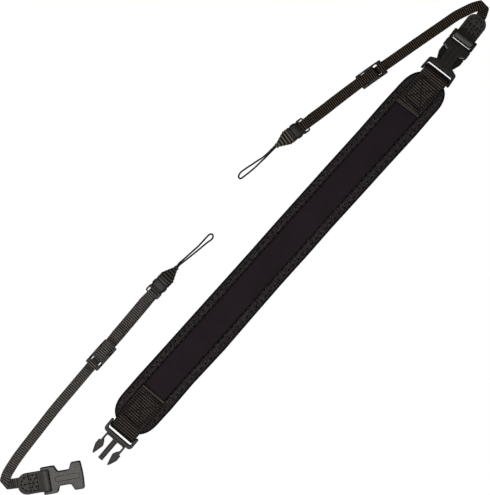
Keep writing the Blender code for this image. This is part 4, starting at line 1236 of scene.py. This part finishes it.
# Needle holes of the tab, line by line: distance from its round end, distance from its middle.
TAB_LINES = [
    [(19.5, -7.5), (19.5, -4.0), (19.5, 0.0), (19.5, 4.0), (19.5, 7.5), (15.5, 7.5), (11.6, 7.5), (11.6, 4.0),
     (11.6, 0.0), (11.6, -4.0), (11.6, -7.5), (15.5, -7.5), (19.5, -7.5)],
    [(11.6, 7.5), (7.2, 6.2), (4.4, 3.2), (3.2, 0.0), (4.4, -3.2), (7.2, -6.2), (11.6, -7.5)],
    [(19.5, 0.0), (15.5, 0.0), (11.6, 0.0), (7.1, 0.0), (3.2, 0.0)],
    [(19.5, 7.5), (17.5, 3.8), (15.5, 0.0), (13.6, -3.8), (11.6, -7.5)],
    [(19.5, -7.5), (17.5, -3.8), (15.5, 0.0), (13.6, 3.8), (11.6, 7.5)],
]
# painted tone by the bar, painted highlight on the bend, and how much of the highlight reaches the bar
for side, (bar, outward), bar_light_and_highlight in (("left", FEMALE_LEFT, ((62, 60, 57), (66, 66, 71), 1.0)),
                                    ("right", MALE_RIGHT, ((14, 12, 11), (88, 88, 90), 0.15))):
    leather = grained_leather(f"grained_leather_{side}", *bar_light_and_highlight)
    points, across, normals, length = even_stations(leather_stations(side, bar, outward), 0.4, 1)
    count = len(points) - 1
    last = len(LEATHER_EDGE)

    def leather_place(column, row):
        wide, thick = LEATHER_EDGE[row % last]
        end = min(column, count - column) * length / count
        half = LEATHER_THICKNESS / 2.0 * (0.45 + 0.55 * smooth(end / 0.8))
        reach = across[column].length
        # the stitched line draws the leather down, leaving a soft rim outside it
        sewn = smooth((22.0 - end) / 2.0) * math.exp(-((reach * (1.0 - abs(wide)) - 2.3) / 0.9) ** 2)
        if thick > 0.5:
            half -= 0.10 * sewn
        return points[column] + across[column] * wide + normals[column] * thick * half

    bm = roll_out(count, last, leather_place)
    set_down(f"leather_{side}", bm, leather, f"leather_tab_{side}")

    out = heading(outward)
    side_way = leftward(out)
    tab_end = Vector((*bar[:2], TAB_TOP)) - out * LEATHER_LENGTH[side]
    stitches = []
    for line in TAB_LINES:
        for (e0, y0), (e1, y1) in zip(line, line[1:]):
            a, b = tab_end + out * e0 + side_way * y0, tab_end + out * e1 + side_way * y1
            stitches.append((a.lerp(b, 0.05), a.lerp(b, 0.95), UPWARD))
    sew(f"tab_stitches_{side}", stitches, 0.24, (22, 20, 19), 0.78)


# ------------------------------------------------------------------ thin webbing
# Ribbed nylon webbing 10 mm wide: out of the leather, folded flat once, then through the adjuster,
# round the connector's ring and back on itself to the adjuster's middle bar, its tail tucked inside.
THIN_HALF_WIDTH = 5.05
THIN_RIB = {"left": 2.15, "right": 2.07}
THIN_RIB_DEPTH = 0.22
LAYER = THIN_THICKNESS + SEWN_GAP
FOLD_RADIUS = 0.75
FOLD_STEPS = 12
FOLD_BLEND = 8.0
TAIL_LENGTH = 28.6
CENTRE_BAR_BOTTOM = 2.6
CENTRE_BAR_HEIGHT = 1.4
RING_MIDDLE_Z = 2.2
INTO_FOLD = {
    "left": [(-321.3, 31.0), (-332.0, 39.6), (-342.6, 48.1)],
    "right": [(284.0, 5.2), (291.0, 5.5), (298.6, 6.8), (303.8, 8.8), (308.8, 11.1)],
}
ARM_ROUTE = {
    "left": [(-332.6, 53.6), (-325.0, 55.2), (-317.3, 56.4), (-309.6, 57.2), (-295.2, 58.3),
             (-279.8, 59.3), (-256.8, 60.8), (-226.1, 61.7), (-203.0, 62.3), (-187.7, 62.2),
             (-164.6, 62.3), (-141.6, 62.9), (-118.6, 63.7), (-109.5, 64.3)],
    "right": [(301.0, 17.4), (297.1, 19.4), (289.4, 22.6), (281.8, 25.3), (267.4, 28.8),
              (252.0, 32.6), (236.6, 36.3), (221.3, 39.8), (205.9, 43.4), (186.2, 48.1),
              (167.5, 52.2), (144.5, 56.6), (129.1, 59.3), (113.8, 62.5), (106.6, 64.1)],
}
FOLD_LINE = {"left": 262.0, "right": 86.0}
FOLD_HEADING = {"left": (141.0, 23.0), "right": (24.0, 148.0)}
ADJUSTER_X = {"left": -187.7, "right": 186.2}
RING_HEADING = {"left": -1.6, "right": 168.8}
RING_BLEND = 14.0
RETURN_STEP = {"left": (0.1, 0.9, 2.0, 2.0, 0.6), "right": (-0.15, -0.35, -0.6, -1.1, -0.1)}
# drawn narrow where it dips into the adjuster: distance from the adjuster's middle, share of its width
PINCH = [(-10.8, 1.0), (-9.2, 0.85), (-5.6, 0.85), (-4.0, 1.0)]
DOWN_TO_FOLD = [(-10.6, 2.3), (-8.0, 1.5), (-5.8, 0.7), (-4.0, 0.5), (0.0, 0.5)]
UP_FROM_FOLD = [(0.0, 2.0), (3.0, 2.2), (6.0, 2.5), (9.5, 2.5), (13.5, 1.6), (17.0, 0.8), (21.0, 0.5)]
OVER_BARS = [(5.9, 0.0), (7.4, 0.3), (9.4, 1.4), (10.9, 1.9), (14.0, 1.9), (15.6, 1.7), (18.2, 0.5),
             (21.0, 0.0)]
# how far past the adjuster's middle the return run goes before it turns round the middle bar
HOLD = 3.1
STRAP_STEP = 0.8
HALF_TURN_STEPS = 14
# ridge colour, specular, how high on a rib its colour starts and is full. The two straps are one webbing;
# their ridge colour and specular differ as painted light, for the light on each side.
THIN_LOOK = {"left": ((50, 44, 40), 0.6, (0.3, 0.75)), "right": ((88, 77, 68), 0.08, (0.66, 1.0))}


def paces(start, end):
    """Distances from start to end, either way, in even steps."""
    steps = int(abs(end - start) / STRAP_STEP)
    return [start + (end - start) * k / steps for k in range(steps + 1)]


def strap_stations(side):
    """The whole thin strap, from inside its leather tab to its tucked tail."""
    floor = THIN_THICKNESS / 2.0
    way_in, way_out = FOLD_HEADING[side]
    line = FOLD_LINE[side]
    slant = line - (way_in + 90.0)
    stations = []

    def add(point, height, facing, skew, share=1.0):
        """Lay the strap across a point, its edges slanted by skew and drawn in to a share of its width."""
        across = heading(facing + skew) * (share * THIN_HALF_WIDTH / math.cos(math.radians(skew)))
        stations.append((Vector((point.x, point.y, height)), across))

    # into the fold
    before = Route(INTO_FOLD[side])
    for k in range(int(before.length) + 1):
        distance = before.length * k / int(before.length)
        left = distance - before.length
        skew = slant * smooth(1.0 + left / FOLD_BLEND)
        add(before.at(distance), look_up(DOWN_TO_FOLD, left), before.facing(distance) + 90.0, skew)
    corner = before.at(before.length)
    along = heading(line)
    outward = heading(line - 90.0)
    drift = math.tan(math.radians(slant)) * FOLD_RADIUS
    for k in range(1, FOLD_STEPS):
        turn = math.pi * k / FOLD_STEPS
        point = corner + outward * FOLD_RADIUS * math.sin(turn) - along * drift * turn
        point.z = floor + FOLD_RADIUS * (1.0 - math.cos(turn))
        stations.append((point, along * (0.94 * THIN_HALF_WIDTH / math.cos(math.radians(slant)))))
    start = corner - along * drift * math.pi

    # along the arm, through the adjuster and to the ring
    route = Route([start.xy, (start + heading(way_out) * 4.0).xy, *ARM_ROUTE[side]])
    slider = float(min((abs(route.at(d).x - ADJUSTER_X[side]), d) for d in range(int(route.length)))[1])
    end = route.length
    rows = UP_FROM_FOLD + [(slider - d, floor + lift) for d, lift in reversed(OVER_BARS)]
    rows += [(slider + d, floor + lift) for d, lift in OVER_BARS]

    def square(distance):
        """Heading of the strap, which comes square to the ring's bar at its end."""
        facing = route.facing(distance)
        return facing + (RING_HEADING[side] - facing) * smooth(1.0 - (end - distance) / RING_BLEND)

    for distance in paces(0.0, end):
        skew = -slant * smooth(1.0 - distance / FOLD_BLEND)
        pinch = look_up(PINCH, distance - slider)
        add(route.at(distance), look_up(rows, distance), square(distance) - 90.0, skew, pinch)

    # round the ring
    final, facing = route.at(end), RING_HEADING[side]
    loop = RING_MIDDLE_Z - floor
    side_marks = (slider - 3.0, slider + 7.0, slider + 25.0, end - 12.0, end)
    side_rows = list(zip(side_marks, RETURN_STEP[side]))

    def aside(distance):
        """How far the return run lies beside the run below it."""
        return heading(route.facing(distance) + 90.0) * look_up(side_rows, distance)

    for k in range(1, HALF_TURN_STEPS):
        share = k / HALF_TURN_STEPS
        turn = math.pi * share - math.pi / 2.0
        point = final + heading(facing) * loop * math.cos(turn) + aside(end) * share
        add(point, RING_MIDDLE_Z + loop * math.sin(turn), facing - 90.0, 0.0)

    # back over the adjuster to its middle bar
    hold = slider - HOLD
    over_bar = CENTRE_BAR_BOTTOM + CENTRE_BAR_HEIGHT + SEWN_GAP + floor
    lying = floor + LAYER
    back = [(hold, over_bar), (slider + 5.0, over_bar), (slider + 7.4, over_bar + 0.1),
            (slider + 9.4, over_bar + 0.2), (slider + 14.0, over_bar + 0.2), (slider + 15.6, over_bar),
            (slider + 18.2, 3.6), (slider + 21.0, lying + LAYER), (slider + 29.5, lying + LAYER),
            (slider + 36.0, lying), (end - 18.0, lying), (end - 11.0, 2.7), (end - 5.0, 3.7),
            (end, RING_MIDDLE_Z + loop)]
    for distance in paces(end, hold):
        add(route.at(distance) + aside(distance), look_up(back, distance), square(distance) - 90.0, 0.0)

    # round the middle bar, and the tail tucked under
    pivot, facing = route.at(hold) + aside(hold), route.facing(hold)
    middle = CENTRE_BAR_BOTTOM + CENTRE_BAR_HEIGHT / 2.0
    turn_radius = over_bar - middle
    for k in range(1, HALF_TURN_STEPS):
        turn = math.pi / 2.0 - math.pi * k / HALF_TURN_STEPS
        point = pivot - heading(facing) * turn_radius * math.cos(turn)
        add(point, middle + turn_radius * math.sin(turn), facing - 90.0, 0.0)
    tail = [(hold, lying)] + [(slider + d, lying + lift) for d, lift in OVER_BARS]
    for distance in paces(hold, slider + TAIL_LENGTH):
        add(route.at(distance) + aside(hold), look_up(tail, distance), route.facing(distance) - 90.0, 0.0)
    return stations, route, slider, before.length + math.pi * FOLD_RADIUS


strap_places = {}
for side, rib in THIN_RIB.items():
    stations, route, slider, into_fold = strap_stations(side)
    strap_places[side] = (route, slider)
    band, length = webbing_band(stations, THIN_THICKNESS, rib, THIN_RIB_DEPTH)
    ridge, specular, crest = THIN_LOOK[side]
    # the groove colour is painted shade between the ribs
    finish = ribbed_webbing(f"thin_webbing_{side}", length, 9.8, rib, ridge, (3, 2, 2), specular,
                            dip=into_fold + slider - 4.9, crest=crest)
    set_down(f"thin_webbing_{side}", band, finish, f"strap_{side}")


# ------------------------------------------------------------------ sliding adjusters
# Three bar slides moulded in black acetal: two low end bars, a raised middle bar and arched side rails.
# All their edges are rounded so that the webbing slides through without wear.
ADJUSTER_LENGTH = 28.8
ADJUSTER_WIDTH = 15.1
PLATE = 1.6
WINDOW = (4.7, 9.3)
WINDOW_SIDES = {"left": (-5.05, 5.0), "right": (-5.8, 4.6)}
CENTRE_LIFT = 2.4


def make_adjuster(y0, y1):
    """A plate with two windows, then arched so that its middle bar stands up off the table."""
    half, wide = ADJUSTER_LENGTH / 2.0, ADJUSTER_WIDTH / 2.0
    body = slab(box(-half, half, -wide, wide, 1.5), 0.0, PLATE, 0.5)
    for side in (-1.0, 1.0):
        x0, x1 = sorted((side * WINDOW[0], side * WINDOW[1]))
        hole = slab(box(x0, x1, y0, y1, 1.4), -1.0, PLATE + 1.0)
        body = merge(body, hole, "DIFFERENCE", split=False)
    rims = []
    for edge in body.edges:
        a, b = edge.verts[0].co, edge.verts[1].co
        flat = abs(a.z - b.z) < 1e-4 and (abs(a.z) < 1e-3 or abs(a.z - PLATE) < 1e-3)
        inside = all(y0 - 0.01 < p.y < y1 + 0.01 and WINDOW[0] - 0.01 < abs(p.x) < WINDOW[1] + 0.01
                     for p in (a, b))
        upright = any(abs(face.normal.z) < 0.5 for face in edge.link_faces)
        if flat and inside and upright:
            rims.append(edge)
    bmesh.ops.bevel(body, geom=rims, offset=0.45, segments=3, profile=0.5, affect="EDGES", clamp_overlap=True,
                    material=-1)
    for k in range(-15, 16):
        bmesh.ops.bisect_plane(body, geom=[*body.verts, *body.edges, *body.faces], dist=1e-4,
                               plane_co=(k * 0.8, 0.0, 0.0), plane_no=(1.0, 0.0, 0.0))
    for vert in body.verts:
        vert.co.z += CENTRE_LIFT * (1.0 - smooth((abs(vert.co.x) - 4.0) / 6.5))
    return body


for side in ("left", "right"):
    route, slider = strap_places[side]
    where = route.at(slider)
    place = ((where.x, where.y, 0.0), route.facing(slider))
    adjuster = put(make_adjuster(*WINDOW_SIDES[side]), place)
    set_down(f"slide_{side}", adjuster, matt, f"adjuster_{side}", MOULDED_SHARP)


# ------------------------------------------------------------------ small connectors
# Two halves that click together: a ring with a short socket for the webbing,
# and a ribbed nose that the thin cord is moulded into.
RING_BAR = 1.4
RING_LENGTH = 8.4
RING_HALF_WIDTH = 7.7
RING_OPENING_END = 5.0
RING_OPENING = {"left": (6.0, -4.9), "right": (5.95, -5.95)}
RING_HALF_HEIGHT = 0.9
LOOP_CENTRE = 3.3
SOCKET_END = 15.8
NOSE_END = 36.9
RING_SHIFT = {"left": 0.8, "right": -0.1}


def loft(rows, fill=4):
    """Closed body through sections of (x, half width, low, high), each a rounded oblong."""
    sides, squareness = 28, 0.62
    sections = []
    for (x0, w0, l0, h0), (x1, w1, l1, h1) in zip(rows, rows[1:]):
        for k in range(fill):
            t = k / fill
            sections.append((x0 + (x1 - x0) * t, w0 + (w1 - w0) * t, l0 + (l1 - l0) * t, h0 + (h1 - h0) * t))
    sections.append(rows[-1])

    def place(column, row):
        x, half_width, low, high = sections[column]
        turn = 2.0 * math.pi * ((row % sides) + 0.5) / sides
        c, s = math.cos(turn), math.sin(turn)
        y = half_width * math.copysign(abs(c) ** squareness, c)
        z = (low + high) / 2.0 + (high - low) / 2.0 * math.copysign(abs(s) ** squareness, s)
        return Vector((x, y, z))

    return roll_out(len(sections) - 1, sides, place)


def make_socket(side_open):
    """A ring with an off-centre opening on the given side, and the socket with its two press tabs."""
    outer = [(0.0, RING_HALF_WIDTH, 2.6), (RING_LENGTH, RING_HALF_WIDTH, 2.4)]
    top, bottom = RING_OPENING[side_open]
    inner = [(RING_BAR, top, 0.8), (RING_OPENING_END, top, 1.2), (RING_OPENING_END, bottom, 1.2),
             (RING_BAR, bottom, 0.8)]
    low, high = RING_MIDDLE_Z - RING_HALF_HEIGHT, RING_MIDDLE_Z + RING_HALF_HEIGHT
    ring = cut(slab(rounded(mirrored(outer)), low, high, 0.45), rounded(inner), low - 1.0, high + 1.0)
    body = loft([(6.4, 5.6, 0.7, 4.2), (6.9, 6.0, 0.4, 4.7), (8.4, 6.8, 0.15, 5.2), (9.8, 7.15, 0.0, 5.7),
                 (11.6, 7.3, 0.0, 5.9), (13.6, 7.3, 0.0, 5.9), (15.3, 7.2, 0.0, 5.85),
                 (SOCKET_END, 6.9, 0.2, 5.6)])
    body = merge(ring, body, "UNION")
    for side in (-1.0, 1.0):
        y0, y1 = sorted((side * 5.9, side * 7.75))
        body = merge(body, slab(box(10.2, 14.8, y0, y1, 0.6, 3), 1.5, 4.4, 0.35, 2), "UNION")
        # a slot above each press tab, where it bends inwards
        y0, y1 = sorted((side * 5.0, side * 5.6))
        body = cut(body, box(9.6, 15.0, y0, y1, 0.2, 2), 4.6, 7.0)
    return body


RIB_CRESTS = (20.5, 23.7, 26.9, 30.1, 33.1)
RIB_PITCH = 3.2
RIBBED_SHARP = 50.0
# distance from the ring's end, half width
NOSE_HALF_WIDTH = [(19.0, 7.5), (23.5, 7.5), (34.8, 2.3)]
# distance from a crest, how far the surface is sunk there
RIB_SHAPE = ((-0.75, 0.0), (0.0, 0.05), (0.65, 0.2), (0.8, 0.4), (1.5, 1.1))


def make_tip():
    """The plug's root in the socket, a collar, and a nose with ribs that tapers to the cord."""
    rows = [(SOCKET_END - 1.4, 5.8, 0.9, 4.8), (SOCKET_END - 0.2, 6.2, 0.6, 5.1),
            (SOCKET_END + 0.1, 6.8, 0.2, 5.6), (16.5, 7.2, 0.0, 5.9), (17.2, 7.4, 0.0, 6.0),
            (18.9, 7.4, 0.0, 6.0), (19.3, 6.9, 0.3, 5.3)]
    for x in RIB_CRESTS:
        for step, sink in RIB_SHAPE:
            half_width = look_up(NOSE_HALF_WIDTH, x + step)
            rows.append((x + step, half_width - 0.4 * sink, 0.4 * sink, 3.0 + 3.0 * half_width / 7.5 - sink))
    rows += [(34.8, 2.5, 0.2, 3.6), (NOSE_END - 0.4, 2.3, 0.25, 3.4), (NOSE_END - 0.1, 2.0, 0.4, 3.2),
             (NOSE_END, 1.6, 0.6, 2.9)]
    return loft(rows, fill=2)


def crested_plastic(name, place, crest_highlight):
    """Matt acetal whose rib crests carry a painted highlight."""
    finish = Finish(name, 0.52, 0.4)
    where, turn = place
    back = Matrix.Rotation(math.radians(-turn), 4, "Z")
    first_rib = Vector((RIB_CRESTS[0] - RIB_PITCH / 2.0, 0.0, 0.0))
    along_nose = finish.node("Mapping", {"Vector": finish.coordinates.outputs["Object"],
                                         "Scale": (1000.0, 1000.0, 1000.0),
                                         "Rotation": (0.0, 0.0, math.radians(-turn)),
                                         "Location": back @ -Vector(where) - first_rib}).outputs["Vector"]
    spark = finish.noise(finish.space(), 0.3, 3.0, 0.6)
    finish.base(finish.span(spark, 0.3, 0.7), (14, 12, 11), (24, 21, 19))
    # painted highlight on the rib crests, only on the nose
    crests = finish.span(finish.bands(along_nose, RIB_PITCH), 0.35, 0.9, 0.0, crest_highlight)
    on_nose = finish.span(finish.axis(along_nose, "X"), -1.0, 0.0)
    finish.cover(finish.math("MULTIPLY", crests, on_nose), (104, 97, 90))
    finish.gloss(finish.span(spark, 0.3, 0.7, 0.45, 0.6))
    finish.relief(spark, 0.05, 0.5)
    return finish.painted()


# how strong the painted highlight on each nose's crests is
for side, crest_highlight in (("left", 0.22), ("right", 0.6)):
    route, slider = strap_places[side]
    facing, shift = RING_HEADING[side], RING_SHIFT[side]
    ring = route.at(route.length) - heading(facing) * LOOP_CENTRE + heading(facing + 90.0) * shift
    place = ((ring.x, ring.y, 0.0), facing)
    nose_finish = crested_plastic(f"nose_{side}", place, crest_highlight)
    for name, bm, finish, node, sharp in (("ring", make_socket(side), matt, "socket", MOULDED_SHARP),
                                          ("nose", make_tip(), nose_finish, "tip", RIBBED_SHARP)):
        set_down(f"connector_{name}_{side}", put(bm, place), finish, f"connector_{node}_{side}",
                 sharp)
